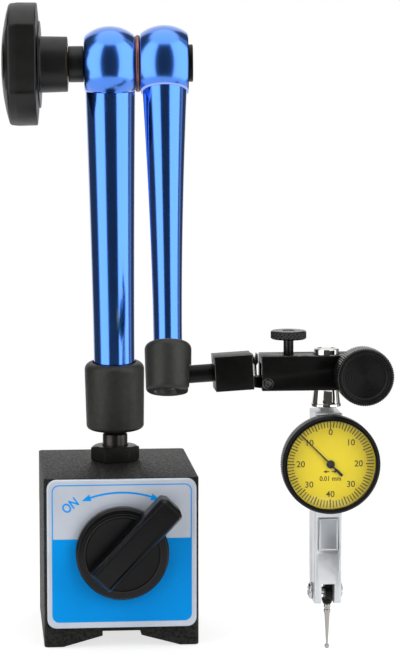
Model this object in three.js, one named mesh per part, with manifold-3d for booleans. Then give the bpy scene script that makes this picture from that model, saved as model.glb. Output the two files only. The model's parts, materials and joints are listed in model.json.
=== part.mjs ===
// Magnetic indicator base with a one-knob locking arm, a fine-adjusting clamp and the lever
// indicator that it holds. Millimetres and degrees, +Z up, the switch faces -Y.
import * as THREE from "three";
import { mergeVertices } from "three/addons/utils/BufferGeometryUtils.js";
import Module from "manifold-3d";

// Clearances
const seatGap = 0.1; // between flat faces pressed together in the base
const runGap = 0.3; // round what turns, slides or lies in a turned group
const rotorGap = 0.4; // round the magnet in its bore
const overrun = 1; // how far a cut runs past what it cuts

// Base block: two iron poles, two non-magnetic spacers and a magnet that turns between them
const rotorRadius = 15;
const sideWall = 9.6;
const floorWall = 10.9;
const roofWall = 8.2;
const bodyDepth = 60;
const cornerRadius = 1.5;
const footLand = 6;
const slotWidth = 12.4;
const slotHeight = 5.1;
const flankRise = 3.5;
const bushThickness = 4;
const bushBore = 4.4;
const shaftSquare = 5.8;
const rearJournalRadius = 2.7;
const rearJournalLength = 3;
const clipRadius = 6;
const clipThickness = 0.7;
const stopPinRadius = 1.2;
const stopPinCircle = 11;
const stopPinReach = 2;
const switchTravelDeg = 90;

// Front plate, rear cover and its screws
const plateThickness = 2;
const plateInset = 0.95;
const plateTopInset = 0.1;
const plateFoot = 6.6;
const plateCorner = 3;
const rearCoverThickness = 1.2;
const rearCoverInset = 3;
const screwInset = 5;
const screwRise = 7;
const screwHeadRadius = 2.8;
const screwHeadHeight = 1.6;
const screwShankRadius = 1.4;
const screwLength = 8;

// Switch knob, a disc with a bar lever
const discRadius = 15;
const discThickness = 4.5;
const discRim = 2;
const discStep = 0.7;
const leverReach = 23.2;
const leverTail = 11.2;
const leverTipWidth = 8.6;
const leverTailWidth = 8.8;
const leverHeight = 8;
const leverEdge = 1.1;
const leverOffDeg = 42.4;

// Ball stud on the base and its lock nut
const studSetback = 36; // from the body's front face to the stud
const spacerFloor = 1;
const neckRadius = 4.15;
const threadRadius = 4;
const neckLength = 9.8;
const grooveRadius = 2.6;
const neckChamfer = 0.8;
const nutFlat = 14.1;
const nutHeight = 5;
const nutTurnDeg = 38;
const lowerBallRadius = 6.8;
const ballPlay = 0.35;
const lipShare = 0.64; // depth of a socket's lip below its ball's centre, as a share of the ball

// Lower arm
const armSwivelDeg = -4;
const armLeanDeg = 4;
const armSideLeanDeg = 0.55;
const lowerArmLength = 115.6;
const lowerCollarRadius = 10;
const lowerCollarFoot = 6;
const lowerCollarRise = 16.6;
const collarRounding = 2.4;
const lowerMouthRadius = 6.9;
const lowerSeatHeight = 5;
const lowerRodRadius = 2.4;
const lowerTubeBore = 3;
const lowerTubeTop = 8.2;
const lowerFlareShare = 1.4; // how late the tube's taper opens out towards its head

// Elbow
const lowerHeadRadius = 12.3;
const lowerHeadHalf = 8.3;
const lowerHeadCut = 8.5;
const upperHeadRadius = 12.5;
const upperHeadHalf = 7.85;
const upperHeadCut = 9.6;
const headSocketDepth = 3.2;
const spigotWall = 2.6;
const boltRadius = 4;
const boltWaist = 2.6;
const waistHalf = 2.8;
const boltHeadRadius = 6.1;
const boltHeadThickness = 1.2;
const washerRadius = 9.5;
const washerThickness = 1;
const sleeveRadius = 5.9;
const sleeveLength = 4.9;

// Lobed lock knob and its threaded insert
const knobRadius = 20.2;
const knobLobes = 3;
const lobeDepth = 5;
const scallopRadius = 32;
const scallopTurnDeg = -10.5;
const knobRim = 10.1;
const knobDome = 2.5;
const domeShare = 0.8; // of the dome's height, halfway out
const knobEdge = 1.6;
const knobBossRadius = 14.2;
const knobBossHeight = 1;
const hubRadius = 9;
const hubLength = 8.9;
const insertRadius = 6.6;
const insertLength = 8;

// Upper arm
const upperLeanDeg = 21.25;
const upperArmLength = 105.1;
const upperBallRadius = 4.5;
const upperCollarRadius = 7.5;
const upperCollarFoot = 5.2;
const upperCollarRise = 10.8;
const upperMouthRadius = 4.2;
const upperSeatHeight = 2.6;
const upperRodRadius = 1.8;
const upperTubeBore = 2.3;
const upperTubeTop = 7.25;
const upperFlareShare = 1.65;
const upperStudRadius = 2.85;
const upperGrooveRadius = 2.2;

// Fine-adjusting clamp
const tongueTiltDeg = 3.4;
const blockReach = 14.4; // from the upper ball's centre to the tongue block
const tongueBlockLength = 12.05;
const blockSize = 11.1;
const studThread = 6;
const studThreadRadius = 2.5;
const tongueReach = 4.4; // from the tongue block to the hinge pin
const tongueDrop = 4.1;
const tongueWidth = 5;
const knuckleRadius = 2;
const tongueTail = 9.6;
const tongueRise = 2;
const anvilHalf = 2;
const anvilRise = 1.5;
const pinRadius = 1.15;
const blockAhead = 1.85; // from the clamp block's near face to the pin
const blockBelow = 2.3;
const blockPastKnob = 5.55; // from the clamp knob's axis to the block's far end
const roofThickness = 2.8;
const thumbReach = 7.1;
const thumbRadius = 1.6;
const thumbStem = 4.8;
const thumbHeadRadius = 5.75;
const thumbHeadHeight = 2.7;
const padHeight = 1;
const padRadius = 1.9;
const springThickness = 0.5;
const springLeg = 3.4;
const springArm = 3.6;
const springSpread = 1.8;
const springWidth = 4.6;
const stemReach = 19.2; // from the pin to the indicator's stem
const stemRadius = 4;
const sawCut = 1;
const clampKnobReach = 29.5;
const clampKnobRise = 2.9;
const clampKnobRadius = 9.1;
const clampKnobDepth = 8.6;
const clampKnobDish = 1;
const clampKnobLip = 1.6;
const clampScrewRadius = 2;
const clampWasherRadius = 5;
const clampWasherThickness = 0.8;

// Indicator: stem, case, dial and movement
const stemShow = 1.7;
const skirtRadius = 4.75;
const skirtTopRadius = 4.6;
const skirtLength = 5.4;
const skirtNotch = 3.1;
const skirtNotchHeight = 3.8;
const skirtNotchDepth = 2;
const spigotRadius = 2.2;
const spigotLength = 3;
const caseDrop = 7.15; // from the clamp block to the case
const caseWidth = 8.6;
const caseDepth = 14;
const caseToePinch = 2;
const dialDrop = 15.5;
const pivotDrop = 58.1;
const caseToe = 3.1;
const forkWidth = 4.2;
const forkRise = 3.4;
const caseWall = 1.6;
const pivotScrewRadius = 2.7;
const pivotScrewFace = 2.2;
const pivotScrewHead = 1.1;
const pivotShankRadius = 1.1;
const leverHubRadius = 1.3;
const housingRadius = 14.4;
const housingThickness = 2.5;
const bezelRadius = 15.6;
const bezelDepth = 6.3;
const bezelLip = 14;
const bezelLipThickness = 0.9;
const crystalThickness = 0.9;
const dialThickness = 0.5;
const pointerLength = 12.6;
const pointerTail = 5;
const pointerWidth = 0.5;
const pointerTailWidth = 1.3;
const pointerHub = 1.3;
const pointerThickness = 0.35;
const pointerTurnDeg = 45;
const pinionRadius = 1.12;
const crownRadius = 4.9;
const crownThickness = 0.8;
const crownPinionRadius = 1.25;
const arborRadius = 0.6;
const leverThickness = 0.5;
const leverBar = 2.2;
const sectorHalfDeg = 4;
const windowHalf = 3.05;
const windowHeight = 10.2;
const windowDrop = 33.6;
const windowRecess = 0.8;
const windowThickness = 0.5;

// Contact point
const hubRingRadius = 3.3;
const hubRingWidth = 2;
const pointAside = 0.7; // from the middle of the fork to the contact point
const pointNeckRadius = 1.1;
const pointNeckLength = 4;
const pointTaperRadius = 0.88;
const pointTipRadius = 0.34;
const pointLength = 18.2;
const pointBallRadius = 0.8;

// Sides of a round piece, by its size
const largeSides = 24;
const middleSides = 16;
const smallSides = 10;
const knobLobeSides = 12;
const ballRings = 7;
const taperSteps = 5;

// Sizes that follow from the ones above
const boreRadius = rotorRadius + rotorGap;
const baseWidth = 2 * (boreRadius + sideWall);
const rotorZ = slotHeight + floorWall + boreRadius;
const baseHeight = rotorZ + boreRadius + roofWall;
const frontY = -bodyDepth / 2;
const backY = bodyDepth / 2;
const plateBackY = frontY - runGap;
const plateFrontY = plateBackY - plateThickness;
const discBackY = plateFrontY - rotorGap;
const discFrontY = discBackY - discThickness;
const magnetEndY = backY - bushThickness - rotorGap;
const studY = frontY + studSetback;
const lowerBallZ = baseHeight + neckLength + lowerBallRadius + runGap;
const armSpacing = lowerHeadHalf + upperHeadHalf + washerThickness + 2 * runGap;
const rodTipRise = boltRadius - runGap;

const wasm = await Module();
wasm.setup();

const rad = THREE.MathUtils.degToRad;

// Joining and cutting

// A closed geometry as a solid with its faces turned outwards
function solid(geometry) {
  const bare = geometry.clone();
  bare.deleteAttribute("normal");
  bare.deleteAttribute("uv");
  const welded = mergeVertices(bare);
  const index = welded.index.array;
  const faces = [];
  for (let i = 0; i < index.length; i += 3) {
    const [a, b, c] = index.slice(i, i + 3);
    if (a !== b && b !== c && c !== a) faces.push(a, b, c);
  }
  const vertProperties = welded.attributes.position.array;
  const build = (list) =>
    new wasm.Manifold(new wasm.Mesh({ numProp: 3, vertProperties, triVerts: new Uint32Array(list) }));
  const made = build(faces);
  return made.volume() < 0 ? build(faces.reverse()) : made;
}

// A first solid with others added to it
const joined = (first, ...others) => others.reduce((sum, other) => sum.add(other), first);

// A first solid with others cut out of it
const cut = (first, ...others) => others.reduce((rest, other) => rest.subtract(other), first);

// Shapes

// A profile of [radius, height] pairs turned about Z
function turnedAboutZ(profile, sides) {
  const points = profile.map(([r, z]) => new THREE.Vector2(r, z));
  return new THREE.LatheGeometry(points, sides).rotateX(Math.PI / 2);
}

const turned = (profile, sides) => solid(turnedAboutZ(profile, sides));
const turnedAlongX = (profile, sides) => solid(turnedAboutZ(profile, sides).rotateY(Math.PI / 2));
const turnedAlongY = (profile, sides) => solid(turnedAboutZ(profile, sides).rotateX(-Math.PI / 2));

// The profile of a plain rod between two heights, and of a ring
const rod = (r, low, high) => [[0, low], [r, low], [r, high], [0, high]];
const ring = (inner, outer, low, high) => [
  [inner, low], [outer, low], [outer, high], [inner, high], [inner, low],
];

// Points on an arc about a place on the axis, from one angle to another, as [radius, height]
function arc(radius, centre, fromDeg, toDeg, steps) {
  return Array.from({ length: steps + 1 }, (_, i) => {
    const angle = rad(fromDeg + ((toDeg - fromDeg) * i) / steps);
    return [radius * Math.cos(angle), centre + radius * Math.sin(angle)];
  });
}

// The angle below level at which a ball's surface comes in to a radius, in degrees
const angleAt = (radius, ball) => THREE.MathUtils.radToDeg(Math.acos(radius / ball));

// A box between two corners
function block(x0, x1, y0, y1, z0, z1) {
  const geometry = new THREE.BoxGeometry(x1 - x0, y1 - y0, z1 - z0);
  return solid(geometry.translate((x0 + x1) / 2, (y0 + y1) / 2, (z0 + z1) / 2));
}

// A closed outline from a list of [x, y] points
const outline = (points) => new THREE.Shape(points.map(([x, y]) => new THREE.Vector2(x, y)));

// An outline drawn out to a plate with square edges
const extruded = (shape, depth) =>
  new THREE.ExtrudeGeometry(shape, { depth, bevelEnabled: false, curveSegments: 4 });

// An outline in X and Z as a plate between two places on Y
const plateAlongY = (shape, y0, y1) =>
  solid(extruded(shape, y1 - y0).rotateX(Math.PI / 2).translate(0, y1, 0));

// An outline in Y and Z as a plate between two places on X
const plateAlongX = (shape, x0, x1) =>
  solid(extruded(shape, x1 - x0).rotateX(Math.PI / 2).rotateZ(Math.PI / 2).translate(x0, 0, 0));

// An outline in X and Y as a plate between two heights
const plateAlongZ = (shape, z0, z1) => solid(extruded(shape, z1 - z0).translate(0, 0, z0));

// A rectangle about the middle of the outline's plane, with round corners
function roundedRectangle(width, height, radius, middle) {
  const shape = new THREE.Shape();
  const [x, top, foot] = [width / 2, middle + height / 2, middle - height / 2];
  shape.moveTo(-x + radius, foot);
  shape.lineTo(x - radius, foot);
  shape.absarc(x - radius, foot + radius, radius, -Math.PI / 2, 0);
  shape.absarc(x - radius, top - radius, radius, 0, Math.PI / 2);
  shape.absarc(-x + radius, top - radius, radius, Math.PI / 2, Math.PI);
  shape.absarc(-x + radius, foot + radius, radius, Math.PI, 1.5 * Math.PI);
  return shape;
}

// Finishes

const finish = (color, roughness, metalness) => () =>
  new THREE.MeshStandardMaterial({ color, roughness, metalness });
const wrinklePaint = finish(0x3a3a38, 0.85, 0.2);
const aluminium = finish(0xc0c4d0, 0.35, 0.9);
const printedPlate = finish(0x2aa0dc, 0.4, 0.5);
const ferrite = finish(0x2c2c2e, 0.7, 0.3);
const steel = finish(0x8b8d90, 0.35, 1);
const blackSteel = finish(0x1c1c1b, 0.45, 0.7);
const brownSteel = finish(0x3f3b3a, 0.4, 0.9);
const collarBlack = finish(0x454543, 0.6, 0.5);
const blueAnodised = finish(0x1c4fd0, 0.2, 0.9);
const copper = finish(0xb8796a, 0.4, 1);
const brass = finish(0xc6a34c, 0.35, 1);
const blackPlastic = finish(0x232322, 0.5, 0);
const chrome = finish(0xd8d8da, 0.1, 1);
const satinChrome = finish(0xb4b8bc, 0.3, 0.9);
const dialYellow = finish(0xebd23a, 0.6, 0);
const clearGlass = finish(0xffffff, 0.05, 0);

// Makes a named mesh of a solid and puts it in a group
function piece(group, name, shape, material) {
  const { vertProperties, triVerts } = shape.getMesh();
  const geometry = new THREE.BufferGeometry();
  geometry.setAttribute("position", new THREE.BufferAttribute(Float32Array.from(vertProperties), 3));
  geometry.setIndex(new THREE.BufferAttribute(Uint32Array.from(triVerts), 1));
  geometry.computeVertexNormals();
  const mesh = new THREE.Mesh(geometry, material());
  mesh.name = name;
  group.add(mesh);
  return mesh;
}

// A group placed in another
function groupIn(parent, x, y, z) {
  const group = new THREE.Group();
  group.position.set(x, y, z);
  parent.add(group);
  return group;
}

const model = new THREE.Group();

// Base block

const body = groupIn(model, 0, 0, 0);
const rotor = groupIn(model, 0, 0, rotorZ);
const screwX = baseWidth / 2 - screwInset;
const screwHeights = [slotHeight + screwRise, baseHeight - screwRise];

const bore = turnedAlongY(rod(boreRadius, frontY - overrun, backY + overrun), largeSides)
  .translate([0, 0, rotorZ]);
const studHoleFloor = rotorZ + boreRadius + spacerFloor;
const studHole = turned(rod(threadRadius + runGap, studHoleFloor, baseHeight + overrun), middleSides)
  .translate([0, studY, 0]);
const screwHoleRod = rod(screwShankRadius + runGap, backY - screwLength - runGap, backY + overrun);
const screwHoles = [-1, 1].flatMap((side) => screwHeights.map((z) =>
  turnedAlongY(screwHoleRod, smallSides).translate([side * screwX, 0, z])));

// One pole, with its foot land, its flank of the V and its share of the bore
function pole(side) {
  const half = baseWidth / 2;
  const inner = slotWidth / 2;
  const profile = outline([
    [side * half, 0],
    [side * (half - footLand), 0],
    [side * inner, flankRise],
    [side * inner, baseHeight],
    [side * half, baseHeight],
  ]);
  const corners = roundedRectangle(baseWidth, bodyDepth, cornerRadius, 0);
  const plan = plateAlongZ(corners, -overrun, baseHeight + overrun);
  return cut(plateAlongY(profile, frontY, backY).intersect(plan), bore, studHole, ...screwHoles);
}

piece(body, "pole_left", pole(-1), wrinklePaint);
piece(body, "pole_right", pole(1), wrinklePaint);

const spacerHalf = slotWidth / 2 - seatGap;
const spacerTop = block(-spacerHalf, spacerHalf, frontY, backY, rotorZ, baseHeight);
piece(body, "spacer_top", cut(spacerTop, bore, studHole), wrinklePaint);
const spacerBottom = block(-spacerHalf, spacerHalf, frontY, backY, slotHeight, rotorZ);
piece(body, "spacer_bottom", cut(spacerBottom, bore), wrinklePaint);

// Bushes that close the bore and carry the shaft

const bushRadius = boreRadius - runGap;
const bushBackY = frontY + bushThickness;
const stopHoleY = frontY + bushThickness / 2;
const stopHole = turnedAlongY(rod(stopPinRadius + runGap, stopHoleY, bushBackY + overrun), smallSides)
  .translate([0, 0, -stopPinCircle]);
const frontBush = turnedAlongY(ring(bushBore, bushRadius, frontY, bushBackY), largeSides);
piece(rotor, "front_bush", cut(frontBush, stopHole), aluminium);

const rearBushFront = magnetEndY + rotorGap + clipThickness + runGap;
const journalEnd = rearBushFront + rearJournalLength - 2 * runGap;
const bearingEnd = journalEnd + runGap;
const rearBush = turnedAlongY(rod(bushRadius, rearBushFront, backY), largeSides);
const bearingRod = rod(rearJournalRadius + runGap, rearBushFront - overrun, bearingEnd);
const rearBearing = turnedAlongY(bearingRod, middleSides);
piece(rotor, "rear_bush", cut(rearBush, rearBearing), aluminium);

const stopPinEnd = bushBackY + stopPinReach;
const stopPin = turnedAlongY(rod(stopPinRadius, stopHoleY + runGap, stopPinEnd), smallSides);
piece(rotor, "stop_pin", stopPin.translate([0, 0, -stopPinCircle]), steel);

// Magnet, with a square hole for the shaft and a quarter-turn groove for the stop pin

function stopGroove() {
  const half = stopPinRadius + runGap;
  const margin = half / stopPinCircle;
  const from = -Math.PI / 2 - rad(switchTravelDeg) - margin;
  const to = -Math.PI / 2 + margin;
  const shape = new THREE.Shape();
  shape.absarc(0, 0, stopPinCircle + half, from, to, false);
  shape.absarc(0, 0, stopPinCircle - half, to, from, true);
  return plateAlongY(shape, -magnetEndY - overrun, stopPinEnd + runGap);
}

const squareHoleHalf = shaftSquare / 2 + runGap;
const magnet = turnedAlongY(rod(rotorRadius, -magnetEndY, magnetEndY), largeSides);
const squareHole = block(
  -squareHoleHalf, squareHoleHalf, -bodyDepth, bodyDepth, -squareHoleHalf, squareHoleHalf);
piece(rotor, "rotor_magnet", cut(magnet, squareHole, stopGroove()), ferrite);

const leverFrontY = discFrontY - leverHeight;
const shaftFrontY = discFrontY + discThickness / 4;
const half = shaftSquare / 2;
const shaft = joined(
  block(-half, half, shaftFrontY, magnetEndY, -half, half),
  turnedAlongY(rod(bushBore - runGap, discBackY, -magnetEndY - runGap), middleSides),
  turnedAlongY(rod(rearJournalRadius, magnetEndY - overrun, journalEnd), middleSides),
);
piece(rotor, "rotor_shaft", shaft, steel);

const clipY = magnetEndY + rotorGap;
const clipRing = ring(rearJournalRadius + seatGap, clipRadius, clipY, clipY + clipThickness);
const clip = turnedAlongY(clipRing, middleSides);
piece(rotor, "rotor_clip", clip, steel);

// Switch knob: its lever points to OFF at rest

function switchKnob() {
  const disc = turnedAlongY([
    [0, discFrontY],
    [discRadius - discRim - discStep / 2, discFrontY],
    [discRadius - discRim, discFrontY + discStep],
    [discRadius - discStep, discFrontY + discStep],
    [discRadius, discFrontY + 2 * discStep],
    [discRadius, discBackY],
    [0, discBackY],
  ], largeSides);
  const [tip, tail] = [leverTipWidth / 2 - leverEdge, leverTailWidth / 2 - leverEdge];
  const bar = outline([
    [-leverTail + leverEdge, -tail],
    [leverReach - 2 * leverEdge - tip / 2, -tip],
    [leverReach - leverEdge, -tip / 2],
    [leverReach - leverEdge, tip / 2],
    [leverReach - 2 * leverEdge - tip / 2, tip],
    [-leverTail + leverEdge, tail],
  ]);
  const geometry = new THREE.ExtrudeGeometry(bar, {
    depth: leverHeight + discThickness / 2 - leverEdge,
    bevelThickness: leverEdge,
    bevelSize: leverEdge,
    bevelSegments: 2,
    steps: 1,
  });
  geometry.rotateX(Math.PI / 2).rotateY(-rad(leverOffDeg));
  const lever = solid(geometry.translate(0, leverFrontY + leverHeight + discThickness / 2, 0));
  const barBackY = discBackY - discThickness / 4;
  const past = block(-leverReach, leverReach, barBackY, bodyDepth, -leverReach, leverReach);
  const hole = squareHoleHalf;
  const socket = block(-hole, hole, shaftFrontY - runGap, discBackY + overrun, -hole, hole);
  const journal = turnedAlongY(rod(bushBore, discBackY - runGap, discBackY + overrun), middleSides);
  return cut(joined(disc, cut(lever, past)), socket, journal);
}

piece(rotor, "switch_knob", switchKnob(), blackPlastic);

// Front plate and rear cover

const plateWidth = baseWidth - 2 * plateInset;
const plateHeight = baseHeight - plateTopInset - plateFoot;
const plateShape = roundedRectangle(plateWidth, plateHeight, plateCorner, plateFoot + plateHeight / 2);
const plateHole = turnedAlongY(rod(bushBore + runGap, plateFrontY - overrun, frontY), middleSides)
  .translate([0, 0, rotorZ]);
piece(body, "label_plate", cut(plateAlongY(plateShape, plateFrontY, plateBackY), plateHole), printedPlate);

const coverFrontY = backY + seatGap;
const coverBackY = coverFrontY + rearCoverThickness;
const coverHeight = baseHeight - slotHeight - 2 * rearCoverInset + 2 * plateInset;
const coverShape = roundedRectangle(
  baseWidth - 2 * rearCoverInset, coverHeight, plateCorner, (baseHeight + slotHeight) / 2);
const coverHoles = screwHoles.map((hole) => hole.translate([0, rearCoverThickness + overrun, 0]));
piece(body, "rear_cover", cut(plateAlongY(coverShape, coverFrontY, coverBackY), ...coverHoles), wrinklePaint);

[-1, 1].forEach((side, column) => screwHeights.forEach((z, row) => {
  const screw = turnedAlongY([
    [0, backY - screwLength],
    [screwShankRadius, backY - screwLength],
    [screwShankRadius, coverBackY + seatGap],
    [screwHeadRadius, coverBackY + seatGap],
    [screwHeadRadius, coverBackY + seatGap + screwHeadHeight / 2],
    [screwHeadRadius / 2, coverBackY + seatGap + screwHeadHeight],
    [0, coverBackY + seatGap + screwHeadHeight],
  ], smallSides);
  piece(body, "rear_screw_" + (2 * column + row + 1), screw.translate([side * screwX, 0, z]), steel);
}));

// Lock nut and ball stud

function lockNut() {
  const corner = nutFlat / 2 / Math.cos(Math.PI / 6);
  const flat = nutFlat / 2;
  const hex = turned(rod(corner, 0, nutHeight), 6);
  const chamfer = turned([
    [0, 0],
    [flat, 0],
    [corner, corner - flat],
    [corner, nutHeight - corner + flat],
    [flat, nutHeight],
    [0, nutHeight],
  ], middleSides);
  const hole = turned(rod(neckRadius + runGap, -overrun, nutHeight + overrun), middleSides);
  return cut(hex.rotate([0, 0, nutTurnDeg]).intersect(chamfer), hole);
}

piece(body, "lock_nut", lockNut().translate([0, studY, baseHeight + 2 * seatGap]), blackSteel);

const arm = groupIn(model, 0, studY, lowerBallZ);
arm.rotation.z = rad(armSwivelDeg);

const grooveAngle = -angleAt(grooveRadius, lowerBallRadius);
const threadFoot = studHoleFloor + runGap - lowerBallZ;
const shoulder = -lowerBallRadius - runGap;
const nutTop = baseHeight + nutHeight + 2 * seatGap - lowerBallZ;
piece(arm, "ball_stud_lower", turned([
  [0, threadFoot],
  [threadRadius, threadFoot],
  [threadRadius, nutTop],
  [neckRadius, nutTop + runGap],
  [neckRadius, shoulder - neckChamfer],
  [neckRadius - neckChamfer, shoulder],
  [grooveRadius, shoulder],
  ...arc(lowerBallRadius, 0, grooveAngle, 90, ballRings),
], middleSides), brownSteel);

// Arm pieces, alike in the lower and the upper arm: heights are along the arm from the ball

// A collar whose lip holds the ball from below and whose bore takes the tube from above
function collar(radius, ball, foot, rise, mouth) {
  const bottomRadius = radius - collarRounding / 6;
  const socket = ball + runGap;
  const lip = ball * lipShare;
  const lipAngle = -THREE.MathUtils.radToDeg(Math.asin(lip / socket));
  return turned([
    [ball + ballPlay, rise],
    [ball + ballPlay, runGap],
    ...arc(socket, 0, 0, lipAngle, 4),
    [mouth, -foot],
    [bottomRadius - collarRounding / 2, -foot],
    [bottomRadius, -foot + collarRounding / 2],
    [radius, rise - collarRounding],
    [radius - collarRounding / 3, rise - collarRounding / 3],
    [radius - collarRounding, rise],
    [ball + ballPlay, rise],
  ], largeSides);
}

// A cup that a rod presses on the ball
function ballSeat(ball, lowest, height) {
  const outer = ball + ballPlay - runGap;
  const cupRadius = ball + runGap;
  const rim = THREE.MathUtils.radToDeg(Math.asin(lowest / cupRadius));
  return turned([
    ...arc(cupRadius, 0, 90, rim, 5),
    [outer, lowest],
    [outer, lowest + height],
    [0, lowest + height],
  ], middleSides);
}

// A tapered tube that opens out late towards its head, with a spigot there
function taperedTube(footRadius, topRadius, boreSize, low, start, high, spigot, spigotRise, share) {
  const taper = Array.from({ length: taperSteps + 1 }, (_, i) => {
    const t = i / taperSteps;
    return [footRadius + (topRadius - footRadius) * t ** share, start + (high - start) * t];
  });
  return turned([
    [boreSize, low],
    [footRadius, low],
    ...taper,
    [spigot, high],
    [spigot, high + spigotRise],
    [boreSize, high + spigotRise],
    [boreSize, low],
  ], largeSides);
}

// A rod whose narrow end is guided by the bolt's waist
function pushRod(radius, low, high) {
  return turned([
    [0, low], [radius, low], [radius, high - radius], [radius / 2, high], [0, high],
  ], smallSides);
}

// A ball head cut flat on both sides and where its tube joins it, with the bolt's bore along X
function elbowHead(radius, half, shoulderDrop, socketRadius, rodRadius) {
  const flatAngle = THREE.MathUtils.radToDeg(Math.asin(half / radius));
  const ball = turnedAlongX([
    [0, -half], ...arc(radius, 0, -flatAngle, flatAngle, ballRings), [0, half],
  ], largeSides);
  const below = block(-radius, radius, -radius - overrun, radius + overrun, -2 * radius, -shoulderDrop);
  const boltBore = turnedAlongX(rod(boltRadius + runGap, -radius, radius), middleSides);
  const socket = turned(rod(socketRadius, -radius, -shoulderDrop + headSocketDepth + runGap), middleSides);
  const rodBore = turned(rod(rodRadius + runGap, -radius, 0), smallSides);
  return cut(ball, below, boltBore, socket, rodBore);
}

// Lower arm

const lowerArm = groupIn(arm, 0, 0, 0);
lowerArm.rotation.set(rad(armLeanDeg), -rad(armSideLeanDeg), 0);

const lowerCollar = collar(
  lowerCollarRadius, lowerBallRadius, lowerCollarFoot, lowerCollarRise, lowerMouthRadius);
piece(lowerArm, "lower_collar", lowerCollar, collarBlack);

const lowerSeatLow = lowerBallRadius / 2 + runGap;
const lowerSeatTop = lowerSeatLow + lowerSeatHeight;
piece(lowerArm, "lower_ball_seat", ballSeat(lowerBallRadius, lowerSeatLow, lowerSeatHeight), brass);
piece(lowerArm, "lower_push_rod",
  pushRod(lowerRodRadius, lowerSeatTop + runGap, lowerArmLength - rodTipRise), steel);

const lowerSpigot = lowerTubeTop - spigotWall;
const lowerTubeHigh = lowerArmLength - lowerHeadCut - runGap;
piece(lowerArm, "lower_tube", taperedTube(
  lowerBallRadius + ballPlay - runGap, lowerTubeTop, lowerTubeBore, lowerSeatTop + runGap, lowerCollarRise,
  lowerTubeHigh, lowerSpigot, headSocketDepth, lowerFlareShare), blueAnodised);

// Elbow

const elbow = groupIn(lowerArm, 0, 0, lowerArmLength);
const lowerHead = elbowHead(
  lowerHeadRadius, lowerHeadHalf, lowerHeadCut, lowerSpigot + runGap, lowerRodRadius);
piece(elbow, "lower_head", lowerHead, blueAnodised);

const boltBoreRadius = boltRadius + runGap;
const washerX = lowerHeadHalf + runGap;
const elbowWasher = ring(boltBoreRadius, washerRadius, washerX, washerX + washerThickness);
piece(elbow, "elbow_washer", turnedAlongX(elbowWasher, largeSides), copper);

const upperFaceX = armSpacing + upperHeadHalf;
const sleeveX = -lowerHeadHalf - runGap;
const hubX = sleeveX - sleeveLength - runGap;
const rimX = hubX - hubLength;
const knobBackX = rimX - knobRim;

// Waists in the bolt let each rod's tip down when the bolt is let go
const waist = (x) => [
  [boltRadius, x - waistHalf], [boltWaist, x - waistHalf / 2], [boltRadius, x + waistHalf],
];
piece(elbow, "elbow_bolt", turnedAlongX([
  [0, rimX],
  [boltRadius, rimX],
  ...waist(0),
  ...waist(armSpacing),
  [boltRadius, upperFaceX + runGap],
  [boltHeadRadius, upperFaceX + runGap],
  [boltHeadRadius, upperFaceX + runGap + boltHeadThickness],
  [0, upperFaceX + runGap + boltHeadThickness],
], middleSides), blackSteel);

const sleeve = turnedAlongX(ring(boltBoreRadius, sleeveRadius, sleeveX - sleeveLength, sleeveX), middleSides);
piece(elbow, "lock_sleeve", sleeve, blackSteel);

// Lobed knob: a domed disc with a scallop between each two lobes, and a plain hub
function lockKnob() {
  const disc = turnedAboutZ([
    [0, knobBackX - knobDome],
    [knobRadius / 2, knobBackX - knobDome * domeShare],
    [knobRadius - knobEdge, knobBackX],
    [knobRadius, knobBackX + knobEdge],
    [knobRadius, rimX - knobBossHeight - knobEdge / 2],
    [knobRadius - knobEdge / 2, rimX - knobBossHeight],
    [knobBossRadius, rimX - knobBossHeight],
    [knobBossRadius, rimX],
    [0, rimX],
  ], knobLobes * knobLobeSides);
  const pitch = (2 * Math.PI) / knobLobes;
  const scallopX = knobRadius - lobeDepth + scallopRadius;
  const place = disc.attributes.position;
  for (let i = 0; i < place.count; i++) {
    const [x, y] = [place.getX(i), place.getY(i)];
    const radius = Math.hypot(x, y);
    if (radius <= knobBossRadius) continue;
    const turn = Math.atan2(x, -y) - rad(scallopTurnDeg);
    const aside = turn - pitch * Math.round(turn / pitch);
    const side = Math.max(0, scallopRadius ** 2 - (scallopX * Math.sin(aside)) ** 2);
    const reach = scallopX * Math.cos(aside) - Math.sqrt(side);
    const drawIn = Math.max(0, knobRadius - reach);
    place.setXY(i, x * (1 - drawIn / radius), y * (1 - drawIn / radius));
  }
  const hub = turnedAlongX(rod(hubRadius, rimX - knobBossHeight, hubX), largeSides);
  const socket = turnedAlongX(rod(insertRadius + seatGap, hubX - insertLength, hubX + overrun), 6);
  const threadEnd = turnedAlongX(rod(boltRadius + runGap, rimX - runGap, hubX), middleSides);
  return cut(joined(solid(disc.rotateY(Math.PI / 2)), hub), socket, threadEnd);
}

piece(elbow, "lock_knob", lockKnob(), blackPlastic);
const insert = turnedAlongX(rod(insertRadius, hubX - insertLength + seatGap, hubX), 6);
const insertThread = turnedAlongX(rod(boltRadius + runGap, rimX - overrun, hubX + overrun), middleSides);
piece(elbow, "knob_insert", cut(insert, insertThread), brass);

// Upper arm: its tube runs down from the elbow, so its pieces are built upright and stood on the ball

const upperArm = groupIn(elbow, armSpacing, 0, 0);
upperArm.rotation.x = -rad(upperLeanDeg + armLeanDeg);
const upperEnd = groupIn(upperArm, 0, 0, -upperArmLength);

const upperSpigot = upperTubeTop - spigotWall;
const upperHead = elbowHead(
  upperHeadRadius, upperHeadHalf, upperHeadCut, upperSpigot + runGap, upperRodRadius);
piece(upperArm, "upper_head", upperHead, blueAnodised);

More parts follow.
